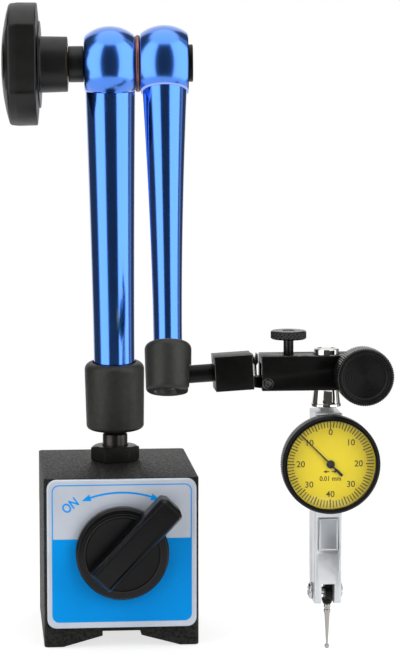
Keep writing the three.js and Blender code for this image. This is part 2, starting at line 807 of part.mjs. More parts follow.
const upperSeatLow = upperBallRadius / 2 + upperGrooveRadius / 3;
const upperSeatTop = upperSeatLow + upperSeatHeight;
piece(upperEnd, "upper_ball_seat", ballSeat(upperBallRadius, upperSeatLow, upperSeatHeight), brass);
piece(upperEnd, "upper_push_rod",
  pushRod(upperRodRadius, upperSeatTop + runGap, upperArmLength - rodTipRise), steel);
piece(upperEnd, "upper_tube", taperedTube(
  upperBallRadius + ballPlay - runGap, upperTubeTop, upperTubeBore, upperSeatTop + runGap, upperCollarRise,
  upperArmLength - upperHeadCut - runGap, upperSpigot, headSocketDepth, upperFlareShare), blueAnodised);

// Clamp group: it hangs level from the upper ball, squared to the base

model.updateMatrixWorld(true);
const upperBall = upperEnd.getWorldPosition(new THREE.Vector3());
const clamp = groupIn(model, upperBall.x, upperBall.y, upperBall.z);
clamp.rotation.y = -rad(tongueTiltDeg);
clamp.updateMatrixWorld(true);

// The stud's direction, seen from the upper arm, turns and lifts the collar's side slot
const studDirection = new THREE.Vector3(1, 0, 0)
  .applyQuaternion(clamp.getWorldQuaternion(new THREE.Quaternion()))
  .applyQuaternion(upperEnd.getWorldQuaternion(new THREE.Quaternion()).invert());
const slotYaw = Math.atan2(studDirection.y, studDirection.x);
const slotLift = Math.max(studDirection.z, 0) * upperCollarRadius;

const slotHalf = upperStudRadius + runGap;
const sideSlot = block(
  0, upperCollarRadius + overrun, -slotHalf, slotHalf, -upperCollarFoot - overrun, slotHalf + slotLift);
const wholeCollar = collar(
  upperCollarRadius, upperBallRadius, upperCollarFoot, upperCollarRise, upperMouthRadius);
const upperCollar = piece(upperEnd, "upper_collar", cut(wholeCollar, sideSlot), collarBlack);
upperCollar.rotation.z = slotYaw;

const upperGrooveAngle = -angleAt(upperGrooveRadius, upperBallRadius);
const studEnd = blockReach + studThread;
const upperStud = turnedAboutZ([
  [0, -studEnd],
  [studThreadRadius, -studEnd],
  [studThreadRadius, -blockReach + runGap],
  [upperStudRadius, -blockReach + runGap],
  [upperStudRadius, -upperBallRadius - 2 * runGap],
  [upperGrooveRadius, -upperBallRadius],
  ...arc(upperBallRadius, 0, upperGrooveAngle, 90, ballRings),
], middleSides);
piece(clamp, "ball_stud_upper", solid(upperStud.rotateY(-Math.PI / 2)), blackSteel);

// Tongue block: its tongue runs into the clamp block and turns on the hinge pin

const tongueX = blockReach + tongueBlockLength;
const pinX = tongueX + tongueReach;
const halfBlock = blockSize / 2;
const halfTongue = tongueWidth / 2;

function tongueBlock() {
  const chunk = block(blockReach, tongueX, -halfBlock, halfBlock, -halfBlock, halfBlock);
  const tongue = plateAlongY(outline([
    [tongueX - overrun, -tongueDrop - knuckleRadius / 2],
    [pinX, -tongueDrop - knuckleRadius],
    [pinX + knuckleRadius / 2, -tongueDrop - knuckleRadius],
    [pinX + tongueTail, -tongueDrop - knuckleRadius / 2],
    [pinX + tongueTail, -tongueDrop + tongueRise],
    [pinX + thumbReach + anvilHalf, -tongueDrop + tongueRise],
    [pinX + thumbReach + anvilHalf, -tongueDrop + tongueRise + anvilRise],
    [pinX + thumbReach - anvilHalf, -tongueDrop + tongueRise + anvilRise],
    [pinX + thumbReach - anvilHalf, -tongueDrop + tongueRise],
    [tongueX - overrun, -tongueDrop + tongueRise],
  ]), -halfTongue, halfTongue);
  const threadRod = rod(studThreadRadius + runGap, blockReach - overrun, studEnd + runGap);
  const thread = turnedAlongX(threadRod, middleSides);
  const pinHole = turnedAlongY(rod(pinRadius + runGap, -blockSize, blockSize), smallSides)
    .translate([pinX, 0, -tongueDrop]);
  return cut(joined(chunk, tongue), thread, pinHole);
}

piece(clamp, "tongue_block", tongueBlock(), blackSteel);

// Hairpin spring that stands on the tongue in the gap and spreads the two blocks

function fineSpring() {
  const x = tongueX + (tongueReach - blockAhead) / 2 - springThickness / 4;
  const foot = -tongueDrop + tongueRise + runGap;
  const elbowZ = foot + springLeg;
  const top = elbowZ + springArm;
  const leaf = springThickness / 2;
  const spread = springSpread / 2;
  return plateAlongY(outline([
    [x - leaf, foot],
    [x + leaf, foot],
    [x + leaf, elbowZ],
    [x + spread, elbowZ + spread],
    [x + spread, top],
    [x + spread - leaf, top],
    [x, elbowZ + springThickness + spread],
    [x - spread + leaf, top],
    [x - spread, top],
    [x - spread, elbowZ + spread],
    [x - leaf, elbowZ],
  ]), -springWidth / 2, springWidth / 2);
}

piece(clamp, "fine_spring", fineSpring(), steel);

// Clamp block, level again, with its own places counted from the hinge pin

const jaw = groupIn(clamp, pinX, 0, -tongueDrop);
jaw.rotation.y = rad(tongueTiltDeg);
const blockTop = blockSize - blockBelow;
const blockRight = clampKnobReach + blockPastKnob;
const roofZ = blockTop - roofThickness;
const tongueSlotHalf = halfTongue + runGap;

function clampBlock() {
  const chunk = block(-blockAhead, blockRight, -halfBlock, halfBlock, -blockBelow, blockTop);
  const [under, over] = [-blockBelow - overrun, blockTop + overrun];
  const tongueSlot = block(
    -blockAhead - overrun, tongueTail + 2 * runGap, -tongueSlotHalf, tongueSlotHalf, under, roofZ);
  const pinHole = turnedAlongY(rod(pinRadius + runGap, -blockSize, blockSize), smallSides);
  const thumbHole = turned(rod(thumbRadius + runGap, roofZ - overrun, over), smallSides)
    .translate([thumbReach, 0, 0]);
  const stemHole = turned(rod(stemRadius + runGap, under, over), middleSides).translate([stemReach, 0, 0]);
  const saw = block(stemReach, blockRight + overrun, -sawCut / 2, sawCut / 2, under, over);
  const screwHole = turnedAlongY(rod(clampScrewRadius + runGap, -blockSize, halfBlock + overrun), middleSides)
    .translate([clampKnobReach, 0, clampKnobRise]);
  return cut(chunk, tongueSlot, pinHole, thumbHole, stemHole, saw, screwHole);
}

piece(jaw, "clamp_block", clampBlock(), blackSteel);
piece(jaw, "hinge_pin", turnedAlongY(rod(pinRadius, -halfBlock, halfBlock), smallSides), steel);

// Thumb screw and the pad that it presses on the tongue

const anvilZ = tongueRise + anvilRise;
const anvilTop = anvilZ + thumbReach * Math.sin(rad(tongueTiltDeg));
const padLow = anvilTop + runGap;
const padTop = padLow + padHeight;
const thumb = groupIn(jaw, thumbReach, 0, 0);
const thumbHeadZ = blockTop + thumbStem;
piece(thumb, "thrust_pad", turned(rod(padRadius, padLow, padTop), smallSides), brass);
piece(thumb, "thumb_screw", turned([
  [0, padTop + seatGap],
  [thumbRadius, padTop + seatGap],
  [thumbRadius, thumbHeadZ],
  [thumbHeadRadius - thumbHeadHeight / 8, thumbHeadZ],
  [thumbHeadRadius, thumbHeadZ + thumbHeadHeight / 8],
  [thumbHeadRadius, thumbHeadZ + thumbHeadHeight - thumbHeadHeight / 8],
  [thumbHeadRadius - thumbHeadHeight / 8, thumbHeadZ + thumbHeadHeight],
  [0, thumbHeadZ + thumbHeadHeight],
], middleSides), blackSteel);

// Clamp knob, its screw and its washer, along Y towards the front

const pinch = groupIn(jaw, clampKnobReach, 0, clampKnobRise);
const washerBackY = -halfBlock - runGap;
const washerFrontY = washerBackY - clampWasherThickness;
const knobBackY = washerFrontY - runGap;
const knobFrontY = knobBackY - clampKnobDepth;
const clampWasher = ring(clampScrewRadius + runGap, clampWasherRadius, washerFrontY, washerBackY);
piece(pinch, "clamp_washer", turnedAlongY(clampWasher, middleSides), steel);
piece(pinch, "clamp_knob", turnedAlongY([
  [0, knobFrontY + clampKnobDish],
  [clampKnobRadius - 1.5 * clampKnobLip, knobFrontY + clampKnobDish],
  [clampKnobRadius - clampKnobLip, knobFrontY],
  [clampKnobRadius - clampKnobLip / 3, knobFrontY],
  [clampKnobRadius, knobFrontY + clampKnobLip / 3],
  [clampKnobRadius, knobBackY - clampKnobLip / 3],
  [clampKnobRadius - clampKnobLip / 3, knobBackY],
  [clampScrewRadius, knobBackY],
  [clampScrewRadius, halfBlock],
  [0, halfBlock],
], largeSides), blackSteel);

// Indicator: places along Z are counted down from the clamp block's underside

const hang = groupIn(jaw, stemReach, 0, -blockBelow);

function stem() {
  const rodTop = blockSize + stemShow;
  const skirtTop = -runGap;
  const skirtFoot = -skirtLength - runGap;
  const turnedStem = turned([
    [0, skirtFoot],
    [skirtRadius, skirtFoot],
    [skirtTopRadius, skirtTop],
    [stemRadius, skirtTop],
    [stemRadius, rodTop - runGap],
    [stemRadius - runGap, rodTop],
    [0, rodTop],
  ], middleSides);
  const notch = block(
    -skirtNotch / 2, skirtNotch / 2, -skirtRadius - overrun, -skirtRadius + skirtNotchDepth,
    skirtTop - skirtNotchHeight, skirtTop);
  const socketRod = rod(spigotRadius + runGap, skirtFoot - overrun, skirtFoot + spigotLength);
  const socket = turned(socketRod, smallSides);
  return cut(turnedStem, notch, socket);
}

piece(hang, "stem", stem(), chrome);

const indicator = groupIn(hang, 0, 0, -caseDrop);
const dialZ = -dialDrop;
const pivotZ = -pivotDrop;
const halfCase = caseWidth / 2;
const caseFrontY = -caseDepth / 2;
const caseBackY = caseDepth / 2;
const footZ = pivotZ - caseToe;
const housingY = caseFrontY - housingThickness;
const cavityHalf = halfCase - caseWall;
const cavityY = caseBackY - caseWall;
const halfFork = forkWidth / 2;
const windowZ = -windowDrop - windowHeight / 2;
const coverSeatY = caseFrontY + windowRecess;

function indicatorCase() {
  const side = outline([
    [caseFrontY, 0],
    [caseFrontY, footZ],
    [caseBackY - caseToePinch, footZ],
    [caseBackY, footZ + caseDepth],
    [caseBackY, 0],
  ]);
  const neckTop = caseDrop - skirtLength - 2 * runGap;
  const spigot = turned(rod(spigotRadius, -overrun, neckTop + spigotLength), smallSides);
  const neck = block(-halfFork, halfFork, -skirtRadius / 2, skirtRadius / 2, -overrun, neckTop);
  const housing = turnedAlongY(rod(housingRadius, housingY, caseFrontY + overrun), largeSides)
    .translate([0, 0, dialZ]);
  const fork = block(
    -halfFork, halfFork, caseFrontY - overrun, caseBackY + overrun, footZ - overrun, pivotZ + forkRise);
  const cavityFloor = pivotZ + forkRise + caseWall;
  const cavity = block(
    -cavityHalf, cavityHalf, -cavityY, cavityY, cavityFloor, dialZ + crownRadius + caseWall);
  const leverWay = block(-halfFork, 0, -leverBar, leverBar, pivotZ, cavityFloor + caseWall);
  const arborHole = turnedAlongY(rod(arborRadius + runGap, housingY - overrun, 0), smallSides)
    .translate([0, 0, dialZ]);
  const pivotHole = turnedAlongX(rod(pivotShankRadius + runGap, -caseWidth, caseWidth), smallSides)
    .translate([0, 0, pivotZ]);
  const recess = block(
    -windowHalf - runGap, windowHalf + runGap, caseFrontY - overrun, coverSeatY,
    windowZ - windowHeight / 2 - runGap, windowZ + windowHeight / 2 + runGap);
  return cut(joined(plateAlongX(side, -halfCase, halfCase), spigot, neck, housing),
    fork, cavity, leverWay, arborHole, pivotHole, recess);
}

piece(indicator, "case", indicatorCase(), satinChrome);
piece(indicator, "cover_plate", block(
  -windowHalf, windowHalf, coverSeatY - seatGap - windowThickness, coverSeatY - seatGap,
  windowZ - windowHeight / 2, windowZ + windowHeight / 2), aluminium);

for (const [name, side] of [["pivot_screw_left", -1], ["pivot_screw_right", 1]]) {
  const screw = turnedAlongX([
    [0, side * (halfFork + seatGap)],
    [pivotShankRadius, side * (halfFork + seatGap)],
    [pivotShankRadius, side * (halfCase + seatGap)],
    [pivotScrewRadius, side * (halfCase + seatGap)],
    [pivotScrewFace, side * (halfCase + seatGap + pivotScrewHead)],
    [0, side * (halfCase + seatGap + pivotScrewHead)],
  ], smallSides);
  piece(indicator, name, screw.translate([0, 0, pivotZ]), steel);
}

// Dial, all on the dial's axis: the bezel, crystal and dial turn as one on the case's housing

const dial = groupIn(indicator, 0, 0, dialZ);
const bezelBackY = housingY + housingThickness - 2 * runGap;
const bezelFrontY = bezelBackY - bezelDepth;
const lipBackY = bezelFrontY + bezelLipThickness;
const bezelBore = housingRadius + runGap;
piece(dial, "bezel", turnedAlongY([
  [bezelLip, bezelFrontY],
  [bezelRadius - bezelLipThickness, bezelFrontY],
  [bezelRadius, bezelFrontY + bezelLipThickness],
  [bezelRadius, bezelBackY - runGap],
  [bezelRadius - runGap, bezelBackY],
  [bezelBore, bezelBackY],
  [bezelBore, lipBackY],
  [bezelLip, lipBackY],
  [bezelLip, bezelFrontY],
], largeSides), blackSteel);

const crystalBackY = lipBackY + seatGap + crystalThickness;
piece(dial, "crystal", turnedAlongY([
  [0, lipBackY + seatGap - crystalThickness / 3],
  [bezelLip - runGap, lipBackY + seatGap - crystalThickness / 3],
  [bezelLip - runGap, lipBackY + seatGap],
  [bezelBore - runGap, lipBackY + seatGap],
  [bezelBore - runGap, crystalBackY],
  [0, crystalBackY],
], largeSides), clearGlass);

const dialBackY = housingY - runGap;
const dialFrontY = dialBackY - dialThickness;
const dialRing = ring(arborRadius + 2 * runGap, bezelBore - runGap, dialFrontY, dialBackY);
piece(dial, "dial_face", turnedAlongY(dialRing, largeSides), dialYellow);

function pointer() {
  const half = pointerWidth / 2;
  const tail = pointerTailWidth / 2;
  const hand = outline([
    [-half, -pointerTail / 2], [-tail, -pointerTail], [tail, -pointerTail], [half, -pointerTail / 2],
    [half / 2, pointerLength], [-half / 2, pointerLength],
  ]);
  const frontY = dialFrontY - runGap - pointerThickness;
  const hub = turnedAlongY(rod(pointerHub, frontY, dialFrontY - runGap), middleSides);
  const blade = plateAlongY(hand, frontY, dialFrontY - runGap);
  return joined(hub, blade).rotate([0, -pointerTurnDeg, 0]);
}

piece(dial, "pointer", pointer(), blackSteel);

// Movement: the sector on the lever drives the crown gear, which drives the pointer's pinion

const crownX = pinionRadius + runGap;
const pinionFrontY = -cavityY + runGap;
piece(dial, "pointer_pinion", turnedAlongY([
  [0, dialFrontY],
  [arborRadius, dialFrontY],
  [arborRadius, pinionFrontY],
  [pinionRadius, pinionFrontY],
  [pinionRadius, -2 * crownPinionRadius],
  [0, -2 * crownPinionRadius],
], smallSides), brass);

const crownY = crownRadius - cavityY + 2 * runGap;
const crown = groupIn(dial, 0, crownY, 0);
piece(crown, "crown_gear", turnedAlongX([
  [0, runGap - cavityHalf],
  [crownPinionRadius, runGap - cavityHalf],
  [crownPinionRadius, crownX],
  [crownRadius, crownX],
  [crownRadius, crownX + crownThickness],
  [0, crownX + crownThickness],
], middleSides), brass);

const pivot = groupIn(indicator, 0, 0, pivotZ);
const leverX = runGap - halfFork;

function sectorLever() {
  const reach = Math.hypot(pivotDrop - dialDrop, crownY) - crownPinionRadius - runGap;
  const lean = Math.atan2(crownY, pivotDrop - dialDrop);
  const sweep = rad(sectorHalfDeg);
  const shape = new THREE.Shape();
  shape.moveTo(-leverBar / 2, 0);
  shape.lineTo(leverBar / 2, 0);
  shape.lineTo(leverBar / 2, forkRise + 2 * caseWall);
  shape.lineTo(leverBar / 3, reach - leverBar * 2);
  shape.absarc(0, 0, reach, Math.PI / 2 - sweep, Math.PI / 2 + sweep, false);
  shape.lineTo(-leverBar / 3, reach - leverBar * 2);
  shape.lineTo(-leverBar / 2, forkRise + 2 * caseWall);
  const blade = plateAlongX(shape, leverX, leverX + leverThickness)
    .rotate([-THREE.MathUtils.radToDeg(lean), 0, 0]);
  const tube = turnedAlongX(rod(leverHubRadius, -halfFork + runGap, halfFork - runGap), smallSides);
  return joined(blade, tube);
}

piece(pivot, "sector_lever", sectorLever(), steel);

// Contact point and the ring that holds it on the lever's hub by friction

const hubRing = ring(
  leverHubRadius + runGap, hubRingRadius - runGap, -hubRingWidth / 2, halfFork - runGap - pointAside);
const stylusHub = turnedAlongX(hubRing, middleSides).translate([pointAside, 0, 0]);
piece(pivot, "stylus_hub", stylusHub, blackSteel);

const ballZ = -pointLength;
piece(pivot, "contact_point", turned([
  ...arc(pointBallRadius, ballZ, -90, 60, 6),
  [pointTipRadius, ballZ + pointBallRadius],
  [pointTaperRadius, -hubRingRadius - pointNeckLength],
  [pointNeckRadius, -hubRingRadius - pointNeckLength],
  [pointNeckRadius, -hubRingRadius],
  [0, -hubRingRadius],
], smallSides).translate([pointAside, 0, 0]), steel);

// The origin is under the middle of the whole part, at the height of its feet

model.updateMatrixWorld(true);
const bounds = new THREE.Box3().setFromObject(model, true);
const middle = bounds.getCenter(new THREE.Vector3());
model.position.set(-middle.x, -middle.y, -bounds.min.z);

const group = new THREE.Group();
group.add(model);
export default group;
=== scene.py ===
# Magnetic base with a locking arm, a fine-adjusting clamp and a lever indicator: its looks
# Shapes are in millimetres and degrees, and are put in the part's frame, in metres, when finished
import json
import math

import bmesh
import bpy
import numpy as np
from mathutils import Matrix, Vector


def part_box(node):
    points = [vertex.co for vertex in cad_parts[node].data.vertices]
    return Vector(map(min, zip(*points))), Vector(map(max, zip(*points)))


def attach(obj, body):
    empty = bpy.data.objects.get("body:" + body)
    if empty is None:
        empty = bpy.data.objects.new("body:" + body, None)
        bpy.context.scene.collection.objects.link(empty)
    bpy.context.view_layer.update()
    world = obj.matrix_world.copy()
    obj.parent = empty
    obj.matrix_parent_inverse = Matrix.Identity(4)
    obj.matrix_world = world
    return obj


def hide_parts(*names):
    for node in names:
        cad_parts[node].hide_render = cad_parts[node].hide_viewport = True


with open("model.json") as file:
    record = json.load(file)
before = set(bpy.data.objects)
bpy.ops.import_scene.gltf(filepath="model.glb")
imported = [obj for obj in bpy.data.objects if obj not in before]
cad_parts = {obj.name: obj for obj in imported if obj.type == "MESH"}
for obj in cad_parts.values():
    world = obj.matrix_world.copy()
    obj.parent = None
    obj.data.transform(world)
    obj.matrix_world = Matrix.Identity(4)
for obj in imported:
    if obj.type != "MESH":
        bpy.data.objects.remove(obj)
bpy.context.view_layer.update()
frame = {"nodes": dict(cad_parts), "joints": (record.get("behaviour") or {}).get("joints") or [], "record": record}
joints = {joint["name"]: joint for joint in frame["joints"]}
print("frame loaded:", len(frame["nodes"]), "nodes")


# Places: each turns a group's own millimetres into the part's frame

def placeAt(point, z=(0, 0, 1), x=(1, 0, 0)):
    up = Vector(z).normalized()
    back = up.cross(Vector(x)).normalized()
    turn = Matrix((back.cross(up), back, up)).transposed().to_4x4()
    return Matrix.Translation(point) @ turn @ Matrix.Scale(0.001, 4)


def jointPlace(name, z=(0, 0, 1), x=(1, 0, 0)):
    return placeAt(joints[name]["pos_m"], z, x)


def shifted(place, x=0, y=0, z=0):
    return place @ Matrix.Translation((x, y, z))


leftLow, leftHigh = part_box("pole_left")
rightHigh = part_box("pole_right")[1]
elbowAxis = joints["elbow_turn"]["axis"]
lowerAxis = joints["arm_spin"]["axis"]
upperAxis = joints["upper_rod_slide"]["axis"]
studAxis = Vector(joints["stud_roll"]["axis"])
clampUp = studAxis.cross(Vector((0, 1, 0)))
rotorHeight = 31.4
caseDrop = 7.15
headPitch = 17.75  # from the middle of one elbow head to that of the other
overrun = 1  # how far a cut runs past what it cuts

basePlace = placeAt(((leftLow.x + rightHigh.x) / 2, (leftLow.y + leftHigh.y) / 2, 0))
studPlace = jointPlace("base_swivel", x=joints["base_tilt"]["axis"])
lowerPlace = jointPlace("arm_spin", lowerAxis, elbowAxis)
elbowPlace = jointPlace("elbow_turn", lowerAxis, elbowAxis)
upperPlace = jointPlace("stud_fold", upperAxis, elbowAxis)
clampPlace = jointPlace("stud_fold", clampUp, studAxis)
jawPlace = jointPlace("fine_tilt")
thumbPlace = jointPlace("thumb_turn")
pinchPlace = jointPlace("clamp_knob_turn")
hangPlace = jointPlace("stem_turn")
casePlace = shifted(hangPlace, z=-caseDrop)
dialPlace = jointPlace("bezel_turn")
pivotPlace = jointPlace("lever_swing")
rotorPlace = shifted(basePlace, z=rotorHeight)


# Materials

def srgb(red, green, blue):
    shown = np.array((red, green, blue)) / 255
    light = np.where(shown > 0.04045, ((shown + 0.055) / 1.055) ** 2.4, shown / 12.92)
    return (*light.tolist(), 1)


def newMaterial(name):
    finish = bpy.data.materials.new(name)
    finish.use_nodes = True
    return finish, finish.node_tree, finish.node_tree.nodes["Principled BSDF"]


def setSockets(shader, **values):
    for key, value in values.items():
        shader.inputs[key.replace("_", " ")].default_value = value


def addNode(tree, kind, settings=None, **sockets):
    # A node with its settings, whose sockets take values or the outputs of other nodes
    node = tree.nodes.new("ShaderNode" + kind)
    for key, value in (settings or {}).items():
        setattr(node, key, value)
    for key, value in sockets.items():
        socket = node.inputs[int(key[1:])] if key[1:].isdigit() else node.inputs[key]
        if isinstance(value, bpy.types.NodeSocket):
            tree.links.new(value, socket)
        else:
            socket.default_value = value
    return node


def maths(tree, operation, *values):
    inputs = {"i%d" % place: value for place, value in enumerate(values)}
    return addNode(tree, "Math", {"operation": operation}, **inputs).outputs[0]


def anyRay(tree, *kinds):
    # 1 for a ray of one of these kinds, 0 for every other
    rays = addNode(tree, "LightPath")
    seen = 0.0
    for kind in kinds:
        seen = maths(tree, "MAXIMUM", seen, rays.outputs["Is %s Ray" % kind])
    return seen


def makeFinish(name, color, spot=None, spotSize=8, metallic=0, rough=(0.4, 0.5), roughSize=3, coat=0,
               shine=0.5, grain=None, turned=None, brushed=None, **sockets):
    # Colour mottled between two tones, roughness that wanders between two values, and a relief made
    # of grain (size and depth), rings about an axis (place, axis, pitch, depth) or brushed streaks
    finish, tree, shader = newMaterial(name)
    setSockets(shader, Base_Color=color, Metallic=metallic, Coat_Weight=coat, Specular_IOR_Level=shine,
               **sockets)
    where = addNode(tree, "TexCoord").outputs["Object"]

    def noise(size, detail=3, vector=where):
        return addNode(tree, "TexNoise", Vector=vector, Scale=1000 / size, Detail=detail).outputs["Fac"]

    if spot:
        share = addNode(tree, "MapRange", Value=noise(spotSize), i1=0.35, i2=0.65).outputs[0]
        mix = addNode(tree, "Mix", {"data_type": "RGBA"}, i0=share, i6=color, i7=spot)
        tree.links.new(mix.outputs[2], shader.inputs["Base Color"])
    span = addNode(tree, "MapRange", Value=noise(roughSize), i1=0.3, i2=0.7, i3=rough[0], i4=rough[1])
    tree.links.new(span.outputs[0], shader.inputs["Roughness"])

    height = None
    if grain:
        size, depth = grain
        height = noise(size, 4)
    if turned:
        place, direction, pitch, depth = turned
        spread = addNode(tree, "Mapping", {"vector_type": "POINT"}, Vector=where, Location=-place.translation)
        rings = addNode(tree, "TexWave", {"wave_type": "RINGS", "rings_direction": direction},
                        Vector=spread.outputs[0], Scale=1000 * math.pi / 10 / pitch, Distortion=0.4)
        height = rings.outputs["Fac"]
    if brushed:
        stretch, size, depth = brushed
        spread = addNode(tree, "Mapping", {"vector_type": "POINT"}, Vector=where, Scale=stretch)
        height = noise(size, 2, spread.outputs[0])
    if height is not None:
        relief = addNode(tree, "Bump", Height=height, Distance=depth / 1000, Strength=1)
        tree.links.new(relief.outputs[0], shader.inputs["Normal"])
    return finish


finishes = {
    "wrinkle_black": makeFinish(
        "wrinkleBlack", srgb(42, 42, 39), spot=srgb(10, 10, 9), spotSize=0.8, rough=(0.42, 0.66),
        roughSize=0.8, grain=(0.8, 0.22), shine=0.16),
    "printed_plate": makeFinish(
        "plateSatin", srgb(214, 221, 232), spot=srgb(204, 212, 224), spotSize=12, metallic=0.35,
        rough=(0.38, 0.46), brushed=((1, 1, 30), 3, 0.004)),
    "plate_blue": makeFinish(
        "plateBlue", srgb(0, 163, 255), spot=srgb(0, 158, 250), spotSize=14, rough=(0.4, 0.48),
        shine=0.12),
    "bush_aluminium": makeFinish("bushAluminium", srgb(205, 206, 208), metallic=1, rough=(0.3, 0.4)),
    "magnet_grey": makeFinish("ferriteGrey", srgb(70, 70, 72), spot=srgb(60, 60, 62), rough=(0.6, 0.75)),
    "bright_steel": makeFinish(
        "brightSteel", srgb(190, 190, 192), metallic=1, rough=(0.2, 0.35), roughSize=1),
    "black_steel": makeFinish(
        "blackSteel", srgb(10, 10, 9), spot=srgb(7, 7, 6), spotSize=3, rough=(0.3, 0.4), roughSize=1.5,
        shine=0.15),
    "knurled_steel": makeFinish(
        "knurledSteel", srgb(26, 26, 25), spot=srgb(18, 18, 17), spotSize=2, metallic=0.3, rough=(0.22, 0.34),
        roughSize=1, shine=0.5),
    "nut_steel": makeFinish(
        "nutSteel", srgb(46, 46, 44), spot=srgb(36, 36, 34), spotSize=3, metallic=0.5, rough=(0.3, 0.38),
        shine=0.4),
    # Lighter steel for the rounded edges of black blocks: partly edge wear, partly painted highlight lines along
    # the edges
    "worn_highlit_edge": makeFinish(
        "wornHighlitEdge", srgb(92, 92, 90), spot=srgb(34, 34, 32), spotSize=2, metallic=0.5, rough=(0.3, 0.45)),
    "brown_steel": makeFinish(
        "brownSteel", srgb(66, 62, 61), spot=srgb(50, 47, 46), spotSize=3, metallic=0.75, rough=(0.26, 0.38)),
    "collar_black": makeFinish(
        "collarBlack", srgb(42, 42, 40), spot=srgb(36, 36, 34), spotSize=2, metallic=0.1, rough=(0.4, 0.52),
        roughSize=1, grain=(0.35, 0.02), shine=0.36),
    "blue_anodised": makeFinish(
        "blueAnodised", (0.05, 0.215, 0.78, 1), metallic=1, rough=(0.14, 0.18), roughSize=12, coat=1,
        Coat_Roughness=0.05),
    "head_blue": makeFinish(
        "headBlue", (0.05, 0.215, 0.78, 1), metallic=1, rough=(0.19, 0.23), roughSize=8, coat=1,
        Coat_Roughness=0.12),
    "copper": makeFinish("copper", srgb(156, 108, 98), spot=srgb(112, 76, 70), metallic=1, rough=(0.3, 0.45)),
    "brass": makeFinish("brass", srgb(205, 172, 96), metallic=1, rough=(0.25, 0.4)),
    "black_plastic": makeFinish(
        "blackPlastic", srgb(18, 18, 17), spot=srgb(14, 14, 13), spotSize=10, rough=(0.34, 0.44), roughSize=5,
        grain=(0.3, 0.012), shine=0.34),
    "switch_plastic": makeFinish(
        "switchPlastic", srgb(12, 12, 12), spot=srgb(9, 9, 9), spotSize=10, rough=(0.26, 0.34), roughSize=5,
        shine=0.24),
    "chrome": makeFinish("chrome", srgb(206, 204, 198), metallic=1, rough=(0.05, 0.09)),
    "satin_chrome": makeFinish(
        "satinChrome", srgb(218, 220, 223), spot=srgb(210, 212, 216), spotSize=6, metallic=0.75,
        rough=(0.28, 0.36), roughSize=2),
    "cover_aluminium": makeFinish(
        "coverAluminium", srgb(166, 170, 175), metallic=0.6, rough=(0.35, 0.45),
        brushed=((20, 20, 1), 2, 0.004)),
    "dial_yellow": makeFinish(
        "dialYellow", srgb(255, 229, 34), spot=srgb(252, 225, 30), spotSize=6, rough=(0.5, 0.6),
        shine=0.2),
    "dial_ink": makeFinish("dialInk", srgb(72, 54, 8), rough=(0.5, 0.6), shine=0.1),
    # A darker black than the knob's rim, for its dish: painted shade in the dish, over turning rings that are real
    # relief
    "turned_shaded_dish": makeFinish(
        "turnedShadedDish", srgb(13, 13, 13), metallic=0.2, rough=(0.26, 0.36), turned=(pinchPlace, "Y", 0.5, 0.05),
        shine=0.2),
    "point_steel": makeFinish("pointSteel", srgb(165, 162, 158), metallic=1, rough=(0.16, 0.26), roughSize=1),
}


def makeCrystal():
    # Clear resin that lets the room's light through to the dial behind it
    finish, tree, shader = newMaterial("crystalClear")
    setSockets(shader, Base_Color=(1, 1, 1, 1), Transmission_Weight=1, Roughness=0, IOR=1.45)
    clear = addNode(tree, "BsdfTransparent")
    mix = addNode(tree, "MixShader", i0=anyRay(tree, "Shadow", "Diffuse"), i1=shader.outputs[0],
                  i2=clear.outputs[0])
    tree.links.new(mix.outputs[0], tree.nodes["Material Output"].inputs["Surface"])
    return finish


finishes["crystal"] = makeCrystal()
print("finishes made:", len(finishes))


# Shapes

columnOrder = {"x": [2, 0, 1], "y": [0, 2, 1], "z": [0, 1, 2]}


def rounded(points, closed=False, steps=4):
    # A line through corners (a, b, radius): each corner with a radius becomes the arc that touches
    # both of its sides, as a conic whose weight is the sine of half the angle between them
    count = len(points)
    corners = np.array([point[:2] for point in points], float)
    radii = [point[2] if len(point) > 2 else 0 for point in points]
    s = np.linspace(0, 1, steps + 1)[:, None]
    line = []
    for i, radius in enumerate(radii):
        here, last, following = corners[i], corners[i - 1], corners[(i + 1) % count]
        if radius == 0 or (not closed and i in (0, count - 1)):
            line.append(here[None])
            continue
        toLast, toNext = last - here, following - here
        lengthLast, lengthNext = np.linalg.norm(toLast), np.linalg.norm(toNext)
        toLast, toNext = toLast / lengthLast, toNext / lengthNext
        half = math.acos(np.clip(toLast @ toNext, -1, 1)) / 2
        shareLast = 0.49 if radii[i - 1] else 0.99
        shareNext = 0.49 if radii[(i + 1) % count] else 0.99
        touch = min(radius / math.tan(half), shareLast * lengthLast, shareNext * lengthNext)
        weight = math.sin(half)
        blend = [(1 - s) ** 2, 2 * s * (1 - s) * weight, s ** 2]
        arc = blend[0] * (here + touch * toLast) + blend[1] * here + blend[2] * (here + touch * toNext)
        line.append(arc / sum(blend))
    return np.concatenate(line)


def arcLine(radius, centre, start, end, steps):
    # Points (radius cos t, centre + radius sin t) from one angle to another
    t = np.radians(np.linspace(start, end, steps + 1))
    return np.stack([radius * np.cos(t), centre + radius * np.sin(t)], 1)


def gridFaces(rows, columns, closedRows):
    # Four-sided faces between the neighbours of a grid whose columns come round to the first
    i, j = np.meshgrid(np.arange(rows if closedRows else rows - 1), np.arange(columns), indexing="ij")
    i, j = i.ravel(), j.ravel()
    nextI, nextJ = (i + 1) % rows, (j + 1) % columns
    return np.stack([i * columns + j, nextI * columns + j, nextI * columns + nextJ, i * columns + nextJ], 1)


def linked(name, data):
    thing = bpy.data.objects.new(name, data)
    bpy.context.collection.objects.link(thing)
    return thing


